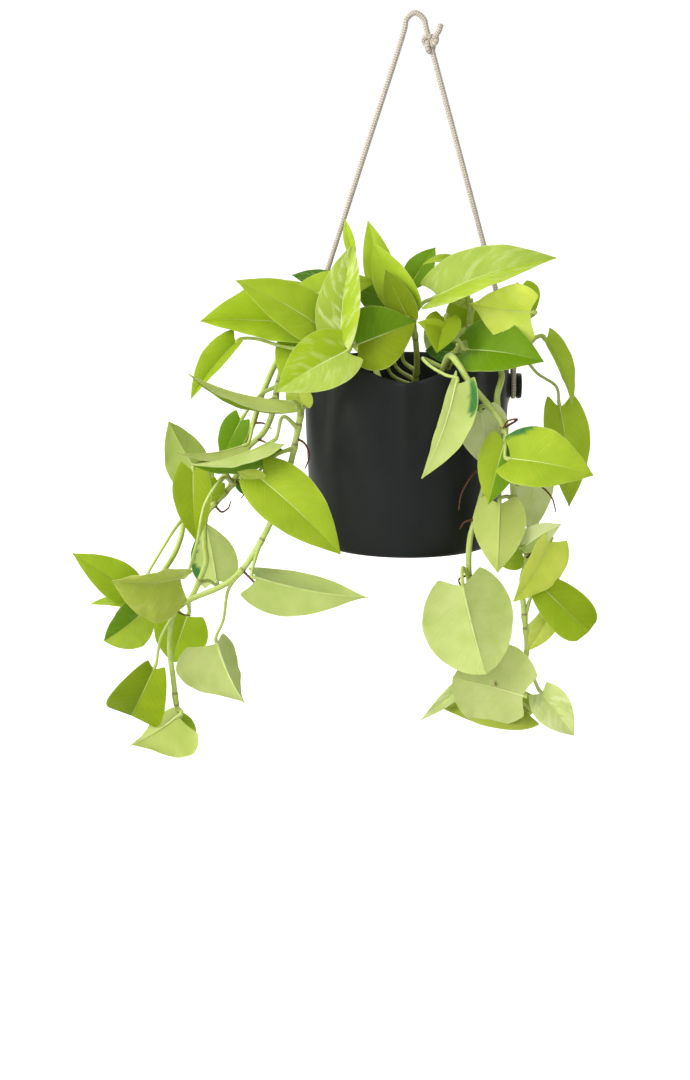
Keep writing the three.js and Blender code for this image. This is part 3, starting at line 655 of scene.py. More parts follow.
class POTHOS_OT_rope(bpy.types.Operator):
    """Adds the braided rope from spool to spool, and the knot near its top"""

    bl_idname = "pothos.add_rope"
    bl_label = "Rope and knot"

    def execute(self, context):
        rope = context.scene.pothos_rope
        yarn = braided_yarn(rope)
        piece, centres = braid("rope_braid", rope_route(rope.diameter / 2 / MM), rope)
        finish_piece(piece, "rope", [yarn])

        # an overhand knot drawn tight round the strand, with its short end standing out
        turns = np.radians(np.arange(0, 360, 15))
        knot_loop = KNOT_MIDDLE + np.column_stack((
            1.89 * (np.sin(turns) + 2 * np.sin(2 * turns)),
            -3.4 * np.sin(3 * turns),
            2.5 * (np.cos(turns) - 2 * np.cos(2 * turns)),
        ))
        knot_route = np.vstack((knot_loop, knot_loop[:1], KNOT_TAIL))
        knot, _ = braid("rope_knot", knot_route, rope)
        finish_piece(knot, "rope", [yarn])
        return {"FINISHED"}


# Pot

FOLDS_START_HEIGHT = 45
POT_SEGMENTS, SPOOL_SEGMENTS = 216, 56
POT_PROFILE = (
    (40, 1.2), (70, 1.2), (72.4, 0.9), (73.4, 0), (76, 0), (78.6, 0.6), (80.2, 2), (80.9, 4),
    (81.6, 8), (83.2, 16), (84.1, 24), (84.9, 32), (85.6, 40), (86.2, 48), (86.8, 57),
    (87.3, 66), (87.8, 75), (88.2, 84), (88.6, 92), (88.9, 100), (89.2, 108), (89.4, 116),
    (89.6, 122), (89.8, 128), (89.9, 134), (90, 140), (90, 145), (90, 150), (90, 154),
    (89.9, 156.6), (89.5, 158.6), (88.9, 159.6), (88.2, 159.9), (87.6, 159.5), (87.2, 158.4),
    (86.9, 156.6), (86.7, 154), (86.7, 148), (86.6, 141), (86.4, 134), (86.1, 126),
    (85.5, 113), (84.8, 100), (83.8, 78), (82.6, 56), (81, 34), (79.4, 16), (77.5, 5),
    (75, 3), (40, 3),
)
SPOOL_PROFILE = (
    (11.2, 86.5), (11.2, 90.7), (10.8, 91.2), (10.2, 91.4), (7.4, 91.4), (6.6, 91.7), (6.4, 92.4),
    (6.4, 95.8), (6.6, 96.5), (7.4, 96.8), (10.2, 96.8), (10.9, 97.1), (11.2, 97.7), (11.2, 100),
    (10.9, 100.8), (10.3, 101.3), (9.4, 101.4), (7.2, 101.3), (6.8, 100.9), (6.4, 100.9),
    (3, 101.1),
)


def rim_lift(angle):
    """How far the rim is waved up or down, from its front at 0 degrees to the spools at 90."""
    side = np.abs(angle)
    return -8 * hump(side, 0, 20) + 7 * hump(side, 38, 22) + 5 * hump(side, 90, 24)


def wall_fold(angle, height, pot_height):
    """How far the wall stands out of its plain round, like cloth gathered at the two spools."""
    side = np.abs(angle)
    drop = pot_height - height
    valley = -4.2 * hump(side, 52 + 0.05 * drop, 9)
    ridge = 2.2 * hump(side, 40 - 0.3 * drop, 9)
    middle = -2.6 * hump(side, 7, 8)
    ripple = 1.6 * hump(side, 68, 8) - 2 * hump(side, 122, 12) + 1.4 * hump(side, 150, 12)
    return (valley + ridge + middle + ripple) * smooth(FOLDS_START_HEIGHT, pot_height - 20, height)


def fold_and_wave(piece, pot):
    """Gives a round piece the pot's folds and its waved rim."""
    places = corners_of(piece) / MM
    x, y, height = places.T
    radius = np.maximum(np.hypot(x, y), 1e-6)
    angle = np.degrees(np.arctan2(x, -y))
    on_wall = radius > pot.foot / MM
    top = pot.height / MM
    scale = 1 + np.where(on_wall, wall_fold(angle, height, top) * pot.fold_depth / radius, 0)
    lift = np.where(on_wall, rim_lift(angle) * smooth(90, top, height), 0)
    move_corners(piece, np.column_stack((x * scale, y * scale, height + lift)) * MM)


class POTHOS_OT_pot(bpy.types.Operator):
    """Adds the moulded pot with its folds, waved rim and two rope spools"""

    bl_idname = "pothos.add_pot"
    bl_label = "Pot"

    def execute(self, context):
        pot = context.scene.pothos_pot
        wider, taller = pot.radius / (POT_RADIUS * MM), pot.height / (POT_HEIGHT * MM)
        profile = [(radius * wider, height * taller) for radius, height in POT_PROFILE]
        wall = turned_piece("hanging_pot", profile, POT_SEGMENTS)
        fold_and_wave(wall, pot)
        spools = []
        for side in (-1, 1):
            spool = turned_piece("spool", SPOOL_PROFILE, SPOOL_SEGMENTS)
            spool.rotation_euler = (0, side * math.pi / 2, 0)
            spool.location = (0, 0, SPOOL_HEIGHT * MM)
            bpy.ops.object.transform_apply(location=True, rotation=True, scale=True)
            spools.append(spool)
        join_into(wall, spools, crease=40)
        finish_piece(wall, "pot", [moulded_plastic(pot)])
        return {"FINISHED"}


# Soil

BARK_CHIPS = 170
BARK_REACH = 78
SOIL_RADIUS = 85.7
SOIL_SIDE = ((75.4, 3.3), (79, 16), (82.2, 56), (84.4, 100))
SOIL_RINGS = (84.6, 1.2, 44)  # radius of the first, of the last, and their number
SOIL_SEGMENTS = 120
MOUND_RISE = 3


def mound_height(radius, top):
    return top + MOUND_RISE * (1 - (radius / SOIL_RADIUS) ** 2)


def bark_chip(place, rng):
    """One chip: a low-sided ball, flattened and roughened, lying on the mound."""
    bpy.ops.mesh.primitive_ico_sphere_add(subdivisions=1, radius=1, location=(0, 0, 0))
    chip = bpy.context.active_object
    size = np.array((rng.uniform(2.2, 5.2), rng.uniform(1.6, 3), rng.uniform(0.7, 1.5)))
    corners = corners_of(chip) * size * rng.uniform(0.8, 1.2, (len(chip.data.vertices), 1))
    turn, tilt = rng.uniform(0, 2 * math.pi), rng.uniform(-0.35, 0.35)
    x = corners[:, 0] * math.cos(tilt) - corners[:, 2] * math.sin(tilt)
    z = corners[:, 0] * math.sin(tilt) + corners[:, 2] * math.cos(tilt)
    c, s = math.cos(turn), math.sin(turn)
    turned = np.column_stack((x * c - corners[:, 1] * s, x * s + corners[:, 1] * c, z))
    move_corners(chip, (turned + place) * MM)
    return chip


class POTHOS_OT_soil(bpy.types.Operator):
    """Adds the potting soil with its mound and bark chips"""

    bl_idname = "pothos.add_soil"
    bl_label = "Soil"

    def execute(self, context):
        pot = context.scene.pothos_pot
        top = pot.soil_top / MM
        rings = [(radius, mound_height(radius, top)) for radius in np.linspace(*SOIL_RINGS)]
        profile = [*SOIL_SIDE, (SOIL_RADIUS, top), *rings]
        soil = turned_piece("potting_soil", profile, SOIL_SEGMENTS)
        fold_and_wave(soil, pot)
        places = corners_of(soil) / MM
        from_middle = np.hypot(places[:, 0], places[:, 1])
        upper = smooth(top - 1, top, places[:, 2]) * smooth(85.5, 80, from_middle)
        rough = np.array([
            1.5 * noise.noise(Vector(place) * 0.16) + 0.9 * noise.noise(Vector(place) * 0.5)
            for place in places
        ])
        places[:, 2] += rough * upper - 0.8 * upper
        move_corners(soil, places * MM)
        soil.data.materials.append(damp_peat(pot))
        bark = pine_bark(pot)
        rng = np.random.default_rng(7)
        chips = []
        for _ in range(BARK_CHIPS):
            radius = BARK_REACH * math.sqrt(rng.uniform(0, 1))
            angle = rng.uniform(0, 2 * math.pi)
            height = mound_height(radius, top) + rng.uniform(-0.2, 0.6)
            at = np.array((radius * math.cos(angle), radius * math.sin(angle), height))
            chip = bark_chip(at, rng)
            chip.data.materials.append(bark)
            chips.append(chip)
        join_into(soil, chips, crease=50)
        finish_piece(soil, "soil", [])
        return {"FINISHED"}


# Plant. A leaf is given by the stem's point that its stalk leaves from, the place of its base and
# its tip, its width, the way its upper side looks, and the name of its green. Its halves rise by
# fold, in degrees, it arches by a share of its length, turns by twist and narrows by taper. The
# stalk passes the places in via. Shade gives one half another green: partly that half's own colour,
# partly painted light and shade for how light falls on that half of the folded blade. Spots are
# brown, and patches are deep green, each with its share along and across the blade and how far it
# reaches.


def leaf(at, base, tip, width, face, green, **shape):
    return {"at": at, "base": base, "tip": tip, "width": width, "face": face, "green": green, **shape}


def flap(*given, **shape):
    """A leaf without a stalk, which grows out of the one before it."""
    return leaf(None, *given, **shape)


DEEP_PATCH = "#3F7A3C"

# (upper side, underside, share of deep splashes, share of cream splashes)
GREENS = {
    "vivid": ("#E2F262", "#CDDC86", 0.0, 0.0),
    "yellow": ("#CFDF5C", "#CDD98A", 0.0, 0.1),
    "bright": ("#B3CA3E", "#C6D47C", 0.0, 0.05),
    "lime": ("#A6BD2E", "#C8D67E", 0.0, 0.0),
    "golden": ("#96AD1C", "#BFCB78", 0.05, 0.0),
    "olive": ("#879A10", "#B4C068", 0.05, 0.0),
    "moss": ("#76890A", "#B0BC66", 0.0, 0.0),
    "dusty": ("#B0BC4C", "#C0CC7E", 0.0, 0.1),
    "dark": ("#6A8F08", "#B8C674", 0.1, 0.0),
    "deep": ("#3F690C", "#A6B868", 0.3, 0.1),
    "striped": ("#A2B64A", "#C8D684", 0.0, 0.18),
    "striated": ("#A5B942", "#C8D684", 0.05, 0.42),
    "cream": ("#CDD88E", "#D8E2A2", 0.25, 0.6),
}
SHOOTS = {
    "vine_left_front": {
        "route": (
            (-38, -34, 132), (-50, -45, 158), (-70, -62, 176), (-84, -66, 160), (-88, -67, 132),
            (-93, -66, 105), (-98, -68, 82), (-107, -72, 49), (-114, -74, 33), (-127, -74, 8),
            (-142, -72, -14), (-157, -68, -27), (-190, -64, -43), (-201, -62, -52),
            (-206, -60, -72), (-207, -58, -94), (-205, -56, -116), (-203, -54, -144),
        ),
        "leaves": (
            leaf(4, (-88, -78, 133), (-92, -92, 161), 24, (-0.2, -1, 0.1), "yellow"),
            leaf(4.4, (-97, -95, 137), (-179, -112, 162), 46, (0, -0.16, -0.99), "moss", fold=36),
            leaf(4.8, (-113, -84, 102), (-180, -104, 85), 52, (0, -0.37, -0.93), "dark",
                fold=40, via=((-104, -78, 122),)),
            leaf(5.5, (-122, -94, 72), (-54, -112, 11), 56, (0.34, -0.87, 0.37), "lime"),
            flap((-120, -94, 70), (-141, -97, 78), 15, (0, -1, 0.2), "yellow"),
            leaf(8.8, (-128, -78, -18), (-31, -96, -30), 58, (0, 0.68, -0.73), "dark",
                fold=38, twist=55, taper=1.3),
            leaf(10, (-164, -70, -79), (-139, -84, -129), 94, (-0.77, 0.5, -0.39), "yellow",
                fold=30, taper=1.35, via=((-153, -72, -30), (-158, -72, -58))),
            leaf(12.6, (-221, -62, -105), (-244, -50, -153), 54, (0.1, -0.95, 0.1), "moss",
                arch=0.12, taper=0.12, via=((-213, -66, -74),), shade=("right", "olive")),
            leaf(17, (-201, -58, -150), (-242, -76, -172), 78, (0.4, 0.57, -0.72), "olive",
                fold=34, taper=1.5),
            leaf(16.6, (-200, -46, -155), (-188, -36, -176), 14, (0, -1, 0.2), "lime"),
        ),
        "air_roots": (
            ((-94, -66, 102), (-86, -71, 98), (-82, -73, 88), (-86, -73, 76)),
            ((-140, -73, -13), (-129, -77, -24), (-125, -78, -34), (-119, -77, -35)),
            ((-201, -63, -51), (-194, -67, -54), (-186, -68, -55)),
        ),
    },
    "vine_left_middle": {
        "route": (
            (-45, -8, 132), (-62, -14, 160), (-84, -20, 178), (-103, -23, 168), (-112, -26, 142),
            (-116, -30, 120), (-124, -33, 102), (-140, -37, 86), (-151, -42, 58), (-164, -44, 43),
            (-174, -45, 31), (-176, -45, 3), (-175, -44, -11), (-185, -40, -37), (-193, -34, -52),
        ),
        "leaves": (
            leaf(4, (-144, -26, 112), (-163, -14, 72), 28, (-0.3, -0.9, 0.2), "dark"),
            leaf(4.5, (-139, -66, 95), (-193, -88, 92), 34, (0, -0.1, -1), "moss",
                fold=35, via=((-127, -46, 126),)),
            leaf(7.5, (-146, -22, 59), (-136, -18, 41), 16, (0, -1, 0.2), "deep"),
            leaf(9.3, (-162, -54, 61), (-173, -56, 42), 18, (0, -1, 0.2), "golden"),
            leaf(8.6, (-176, -44, 61), (-203, -62, 115), 48, (-0.58, 0.74, -0.33), "lime", fold=19),
            leaf(8, (-180, -84, 77), (-178, -82, 14), 36, (-0.2, -1, 0), "olive",
                via=((-162, -66, 80),)),
            leaf(8, (-191, -96, -14), (-247, -114, -13), 90, (0, -0.75, -0.66), "dusty",
                fold=27, via=((-156, -92, 70), (-168, -102, 52), (-176, -104, 17))),
            leaf(12.8, (-169, -18, -36), (-176, -32, 20), 44, (0, 0.95, -0.2), "yellow",
                patches=((0.62, 1.0, 0.4, 0.3), (0.2, 0.85, 0.14, 0.2))),
            leaf(14, (-195, -26, -66), (-213, -6, -116), 52, (0, -1, 0.2), "golden"),
        ),
        "air_roots": (
            ((-129, -36, 96), (-122, -41, 94), (-118, -42, 90)),
            ((-166, -45, 38), (-160, -50, 34), (-154, -51, 38), (-152, -50, 44)),
            ((-148, -43, 60), (-141, -47, 55), (-141, -48, 49), (-144, -47, 45)),
        ),
    },
    "vine_left_back": {
        "route": (
            (-42, 18, 132), (-66, 18, 165), (-90, 17, 182), (-108, 14, 170), (-129, 8, 129),
            (-137, 2, 103), (-148, -2, 81), (-164, -8, 56), (-188, -14, 35), (-196, -16, 24),
            (-201, -18, 3), (-206, -26, -10), (-215, -36, -24), (-224, -42, -39), (-228, -48, -47),
        ),
        "leaves": (
            leaf(9, (-239, -60, -36), (-285, -86, 4), 36, (-0.1, -0.8, 0.5), "lime",
                via=((-204, -38, 15), (-222, -50, -14))),
            leaf(14, (-227, -74, -50), (-258, -98, -70), 50, (0.25, -0.9, -0.34), "bright",
                taper=0.8, shade=("left", "dark")),
            leaf(13.5, (-236, -66, -47), (-272, -82, -42), 22, (0, -0.3, 1), "lime"),
            leaf(3, (-100, 34, 190), (-128, 66, 186), 46, (-0.2, 0.6, 0.8), "lime"),
        ),
        "air_roots": (
            ((-136, 1, 105), (-126, -3, 105), (-119, -4, 100)),
        ),
    },
    "spray_left": {
        "route": (
            (-24, -30, 132), (-40, -44, 156), (-52, -54, 170), (-64, -68, 183), (-79, -74, 184),
            (-93, -78, 170), (-98, -80, 158),
        ),
        "leaves": (
            leaf(3, (-55, -88, 188), (-45, -64, 266), 46, (-0.4, -0.9, 0.15), "striated",
                fold=28, shade=("right", "lime")),
            flap((-46, -66, 260), (-52, -54, 285), 10, (-0.3, -1, 0.1), "lime"),
            leaf(4, (-69, -74, 195), (-140, -98, 237), 48, (-0.1, -0.78, 0.62), "lime", fold=8),
            leaf(2.5, (-76, -38, 193), (-175, -56, 200), 80, (0, -0.77, 0.64), "golden", fold=36),
            leaf(2, (-60, -14, 228), (-100, -6, 236), 20, (0, -0.9, 0.4), "deep"),
            leaf(3, (-85, -54, 221), (-26, -46, 233), 34, (0, -0.8, 0.6), "lime"),
            leaf(4.5, (-144, -62, 183), (-182, -74, 136), 34, (-0.48, -0.79, 0.38), "golden",
                fold=38, via=((-109, -64, 181), (-129, -60, 186))),
            leaf(4.3, (-88, -54, 183), (-107, -72, 155), 36, (-0.2, -0.95, 0.2), "lime"),
            leaf(3, (-50, -94, 179), (-107, -108, 147), 54, (0.05, -0.85, 0.5), "striped",
                shade=("upper", "golden")),
        ),
    },
    "spray_centre": {
        "route": (
            (6, -14, 132), (9, -30, 160), (7, -50, 188), (5, -58, 200), (6, -60, 208),
        ),
        "leaves": (
            leaf(4, (3, -62, 214), (-29, -46, 266), 38, (-0.5, -0.8, 0.2), "lime", fold=25),
            leaf(3.5, (1, -72, 205), (-18, -66, 244), 26, (-0.3, -0.9, 0.2), "moss"),
            leaf(3, (-41, -78, 183), (8, -75, 202), 56, (0, -0.97, 0.1), "dark",
                via=((-12, -56, 196), (-38, -64, 186)), spots=((0.06, 0.36),), shade=("lower", "olive")),
            leaf(0.5, (-2, -42, 209), (-47, -36, 227), 46, (0, -0.75, 0.65), "dark",
                via=((-9, -20, 158), (-12, -28, 184))),
            leaf(0.8, (-4, -36, 200), (-44, -34, 203), 24, (0, -0.25, 0.97), "golden",
                via=((-3, -22, 164), (-1, -32, 186))),
            leaf(0.3, (-20, -28, 223), (-34, -18, 283), 28, (0.1, -0.95, 0.2), "lime",
                via=((-14, -18, 152), (-18, -24, 184))),
            leaf(2, (5, -22, 232), (24, -12, 260), 26, (-0.3, -0.9, 0.2), "dark"),
            leaf(4, (25, -60, 222), (122, -84, 255), 60, (-0.1, -0.66, 0.75), "striped",
                fold=26, shade=("lower", "lime")),
        ),
    },
    "spray_right": {
        "route": (
            (28, -12, 132), (36, -34, 165), (40, -42, 184), (54, -36, 193), (79, -40, 190),
            (105, -46, 182),
        ),
        "leaves": (
            leaf(1, (39, -50, 174), (16, -48, 175), 20, (0, -0.9, 0.3), "deep"),
            leaf(2, (32, -70, 204), (25, -86, 177), 34, (-0.1, -0.95, 0.2), "olive", fold=26),
            flap((29, -76, 196), (9, -80, 202), 14, (0, -1, 0.2), "golden"),
            leaf(2, (52, -59, 177), (113, -93, 171), 60, (0, -0.81, 0.59), "dark",
                fold=22, spots=((0.99, 0.0),)),
            leaf(3, (48, -28, 243), (13, -40, 247), 16, (0, -0.5, 0.85), "lime", arch=0.2),
            leaf(3, (55, -14, 212), (48, -16, 180), 40, (0, -1, 0.2), "golden"),
            leaf(3, (54, -30, 213), (36, -34, 217), 12, (0, -0.8, 0.5), "striated"),
            leaf(4, (97, -12, 226), (108, -20, 201), 30, (0, -0.9, 0.4), "golden"),
            leaf(5, (103, -72, 210), (52, -60, 216), 65, (0.1, -0.92, -0.34), "yellow",
                fold=26, taper=1.4, via=((98, -48, 196),), shade=("upper", "vivid")),
            leaf(5, (118, -40, 184), (143, -34, 127), 32, (0.78, -0.59, 0.21), "bright", fold=34),
            leaf(4, (133, -30, 125), (142, -44, 40), 46, (0.42, -0.9, 0), "lime",
                via=((98, -37, 172), (112, -36, 155), (129, -34, 143)), shade=("left", "lime")),
        ),
    },
    "vine_right_front": {
        "route": (
            (24, -38, 132), (30, -60, 158), (36, -78, 174), (43, -90, 168), (50, -96, 157),
            (57, -98, 148), (71, -99, 132), (80, -97, 119), (85, -88, 92), (90, -82, 70),
            (92, -78, 52), (98, -74, 25), (105, -72, 1), (101, -70, -19), (104, -68, -54),
            (107, -64, -82), (105, -62, -101),
        ),
        "leaves": (
            leaf(1.2, (41, -110, 155), (13, -118, 77), 48, (0.7, 0.67, -0.26), "dark",
                fold=34, via=((14, -72, 171), (20, -96, 167), (33, -108, 161)),
                patches=((0.14, 0.78, 0.15, 0.2),)),
            leaf(7.2, (82, -100, 106), (69, -104, 53), 36, (-0.2, -1, 0.1), "lime",
                shade=("right", "dark")),
            leaf(7.4, (86, -112, 93), (153, -126, 82), 62, (0.13, -0.79, 0.6), "lime",
                fold=20, patches=((0.1, -1.0, 0.16, 0.22),)),
            leaf(8, (111, -58, 74), (109, -50, 16), 36, (0, 1, 0), "cream"),
            leaf(10, (79, -96, 52), (78, -102, -6), 46, (0.1, 1, 0), "olive"),
            leaf(10.5, (101, -88, 14), (131, -92, 34), 24, (0, 0.9, 0.3), "cream"),
            leaf(11.5, (101, -52, 1), (70, -58, 1), 34, (0, -0.9, 0.3), "bright"),
            leaf(12, (124, -75, 16), (93, -83, -36), 54, (0.55, -0.77, -0.33), "vivid", fold=20),
            leaf(14, (117, -70, -25), (158, -78, -64), 42, (0.1, -1, 0.2), "olive",
                taper=0.3, shade=("left", "golden")),
            leaf(14.4, (126, -76, -48), (107, -74, -82), 22, (0, -1, 0), "dusty"),
            leaf(16, (121, -58, -125), (150, -64, -162), 38, (-0.2, -0.9, 0.4), "cream", fold=28),
        ),
        "air_roots": (
            ((92, -81, 66), (112, -86, 66), (123, -88, 56), (127, -88, 43)),
            ((104, -74, 1), (110, -77, 5), (116, -78, 3)),
            ((82, -98, 117), (92, -101, 124), (84, -103, 123), (80, -102, 116)),
        ),
    },
    "vine_right_side": {
        "route": (
            (44, -26, 132), (58, -42, 160), (70, -56, 172), (80, -68, 158), (76, -78, 140),
            (77, -82, 127), (79, -80, 112), (77, -78, 99), (71, -78, 81), (66, -80, 61),
            (60, -82, 38), (55, -84, 18), (55, -86, -16), (63, -78, -54), (75, -68, -88),
            (89, -62, -121), (101, -58, -133),
        ),
        "leaves": (
            leaf(5, (62, -90, 129), (71, -94, 80), 44, (0, 1, 0), "cream"),
            leaf(12, (49, -103, -17), (70, -100, -96), 84, (-0.3, 0.95, 0.1), "striped",
                fold=15, taper=0.6, via=((49, -93, -4),)),
            leaf(15, (104, -76, -122), (42, -88, -103), 80, (0, 1, 0), "yellow",
                taper=0.7, spots=((0.39, -0.06),)),
            leaf(14, (62, -60, -108), (15, -72, -147), 15, (0, -1, 0.2), "cream"),
            leaf(16, (110, -52, -145), (30, -62, -137), 42, (0, -0.8, 0.6), "dusty"),
        ),
        "air_roots": (
            ((69, -80, 84), (56, -87, 74), (47, -88, 58), (45, -87, 44)),
            ((58, -84, 36), (50, -87, 34), (46, -88, 28)),
            ((54, -86, -12), (46, -90, -15), (48, -91, -22)),
        ),
    },
    "spray_back_left": {
        "route": (
            (-22, 34, 132), (-34, 56, 160), (-44, 76, 178), (-52, 96, 168), (-58, 106, 146),
            (-62, 110, 120), (-64, 110, 95),
        ),
        "leaves": (
            leaf(2, (-52, 68, 204), (-96, 90, 212), 50, (-0.2, 0.6, 0.8), "lime"),
            leaf(3, (-38, 96, 180), (-18, 119, 134), 50, (0.1, 0.8, 0.6), "bright"),
            leaf(4, (-64, 124, 144), (-62, 130, 76), 58, (-0.1, 1, 0.2), "lime"),
            leaf(5, (-36, 122, 112), (-16, 126, 50), 52, (0.1, 1, 0.1), "golden"),
            leaf(6, (-66, 116, 82), (-70, 112, 20), 50, (-0.2, 1, 0.1), "lime"),
        ),
    },
    "spray_back_right": {
        "route": (
            (30, 32, 132), (42, 52, 158), (54, 70, 177), (62, 90, 168), (66, 102, 145),
            (66, 106, 118), (62, 108, 92),
        ),
        "leaves": (
            leaf(2, (62, 66, 200), (98, 88, 206), 46, (0.2, 0.6, 0.8), "bright"),
            leaf(3, (44, 84, 184), (30, 112, 138), 50, (0, 0.8, 0.6), "deep"),
            leaf(4, (72, 120, 140), (74, 124, 70), 56, (0.1, 1, 0.2), "lime"),
            leaf(5, (40, 120, 112), (24, 124, 46), 54, (0, 1, 0.1), "lime"),
            leaf(6, (62, 118, 80), (70, 114, 14), 50, (0.1, 1, 0.1), "golden"),
        ),
    },
}

BLADE_ROWS = np.linspace(0, 1, 34)
HALF_COLUMNS = (0.07, 0.16, 0.28, 0.42, 0.56, 0.7, 0.83, 0.93, 1.0)
BLADE_COLUMNS = np.array([-v for v in HALF_COLUMNS[::-1]] + [0.0] + list(HALF_COLUMNS))
BASAL_LOBE = 0.15
USUAL_FOLD, USUAL_ARCH = 14, 0.06
RUFFLE_SHARE = 0.022  # of the width, when a margin waves as much as it can
VEIN_FURROW = 0.012  # depth of the side veins' furrows, as a share of the width
MARGIN_THINNING = 0.55
RIB_GROOVE, RIB_GROOVE_WIDTH = 0.35, 1.3
RIB_END, RIB_RINGS = 0.93, 22
STEM_SIDES, STALK_SIDES, RIB_SIDES, ROOT_SIDES = 16, 12, 8, 8
STEM_STEP, STALK_STEP, ROOT_STEP = 1.6, 2.0, 1.0
STEM_TAPER = 0.14
NODE_SWELLING = 0.55
AIR_ROOT_RADIUS = 1.15
ROOT_DEPTH = 26
SHARP_ANGLE = 60
LEAF_SKIN, STEM_SKIN, ROOT_SKIN = range(3)  # the order of plant_materials


def half_width(u, taper):
    """Half the width along a blade, 1 at its widest."""
    widest = (0.5 - 0.06 * taper) / (taper + 0.5)
    shapes = [np.sqrt(np.maximum(t + 0.06, 0)) * np.maximum(0, 1 - t) ** taper for t in (u, widest)]
    return shapes[0] / shapes[1]


def blade_surface(shape, ruffle, seed):
    """The middle surface of a blade, as a function of the shares along and across it."""
    base, tip = np.array(shape["base"], float), np.array(shape["tip"], float)
    size = np.linalg.norm(tip - base)
    ahead = (tip - base) / size
    up = np.array(shape["face"], float)
    up -= ahead * (up @ ahead)
    up /= np.linalg.norm(up)
    width = shape["width"]
    fold = math.radians(shape.get("fold", USUAL_FOLD))
    twist = math.radians(shape.get("twist", 0))
    arch, taper = shape.get("arch", USUAL_ARCH), shape.get("taper", 1)

    def surface(u, v):
        u, v = np.broadcast_arrays(np.asarray(u, float), np.asarray(v, float))
        aside = np.abs(v)
        angle = (twist * u * u)[..., None]
        turned = up * np.cos(angle) + np.cross(ahead, up) * np.sin(angle)
        across = np.cross(ahead, turned)
        half = np.maximum(0.6, width / 2 * half_width(u, taper)) * aside
        back = BASAL_LOBE * (aside ** 1.5 - 0.25 * aside ** 9) * (1 - u) ** 4
        rise = half * math.sin(fold) * (1.25 - 0.5 * aside)
        waves = np.sin(2 * math.pi * (2.2 * u + seed) + 1.3 * np.sign(v)) + 0.5 * np.sin(
            2 * math.pi * (4.7 * u + 1.7 * seed) + 2.1 * np.sign(v)
        )
        margin = ruffle * RUFFLE_SHARE * width * aside ** 2.5
        rise = rise + margin * waves * np.sin(math.pi * np.clip(u, 0, 1))
        return (
            base
            + ahead * (size * (u - back))[..., None]
            + up * (arch * size * 4 * u * (1 - u))[..., None]
            + across * (np.sign(v) * half * math.cos(fold))[..., None]
            + turned * rise[..., None]
        )

    return surface


class Growth:
    """The corners and faces of one shoot, with the green, the place on its leaf and the marks
    that each corner has."""

    def __init__(self):
        self.places, self.faces, self.kinds = [], [], []
        self.tone, self.blade, self.mark = [], [], []
        self.count = 0

    def add(self, places, faces, kind, tone, blade, mark):
        self.places.append(places)
        self.faces += [[corner + self.count for corner in face] for face in faces]
        self.kinds += [kind] * len(faces)
        self.tone.append(np.broadcast_to(tone, (len(places), 4)))
        self.blade.append(np.broadcast_to(blade, (len(places), 3)))
        self.mark.append(np.broadcast_to(mark, (len(places), 3)))
        self.count += len(places)

    def add_tube(self, centres, run, radii, turns, plant, seed, dry):
        """A green tube along its centres, with how dry its skin is for each ring and side."""
        count, sides = len(run), len(turns)
        places, faces = pipe(centres, radii, sides)
        along, across = np.repeat(run, sides), np.tile(np.sin(turns), count)
        mark = np.zeros((count * sides, 3))
        mark[:, 2] = dry.ravel()
        blade = np.stack((along, across, np.full(count * sides, seed)), axis=-1)
        self.add(places, faces, STEM_SKIN, stem_tone(plant, seed), blade, mark)

    def piece(self, name):
        piece = mesh_piece(name, np.vstack(self.places), self.faces)
        mesh = piece.data
        mesh.polygons.foreach_set("material_index", self.kinds)
        for label, kind, field, rows in (
            ("tone", "FLOAT_COLOR", "color", self.tone),
            ("blade", "FLOAT_VECTOR", "vector", self.blade),
            ("mark", "FLOAT_VECTOR", "vector", self.mark),
        ):
            layer = mesh.attributes.new(label, kind, "POINT")
            layer.data.foreach_set(field, np.vstack(rows).ravel())
        mesh.set_sharp_from_angle(angle=math.radians(SHARP_ANGLE))
        return piece


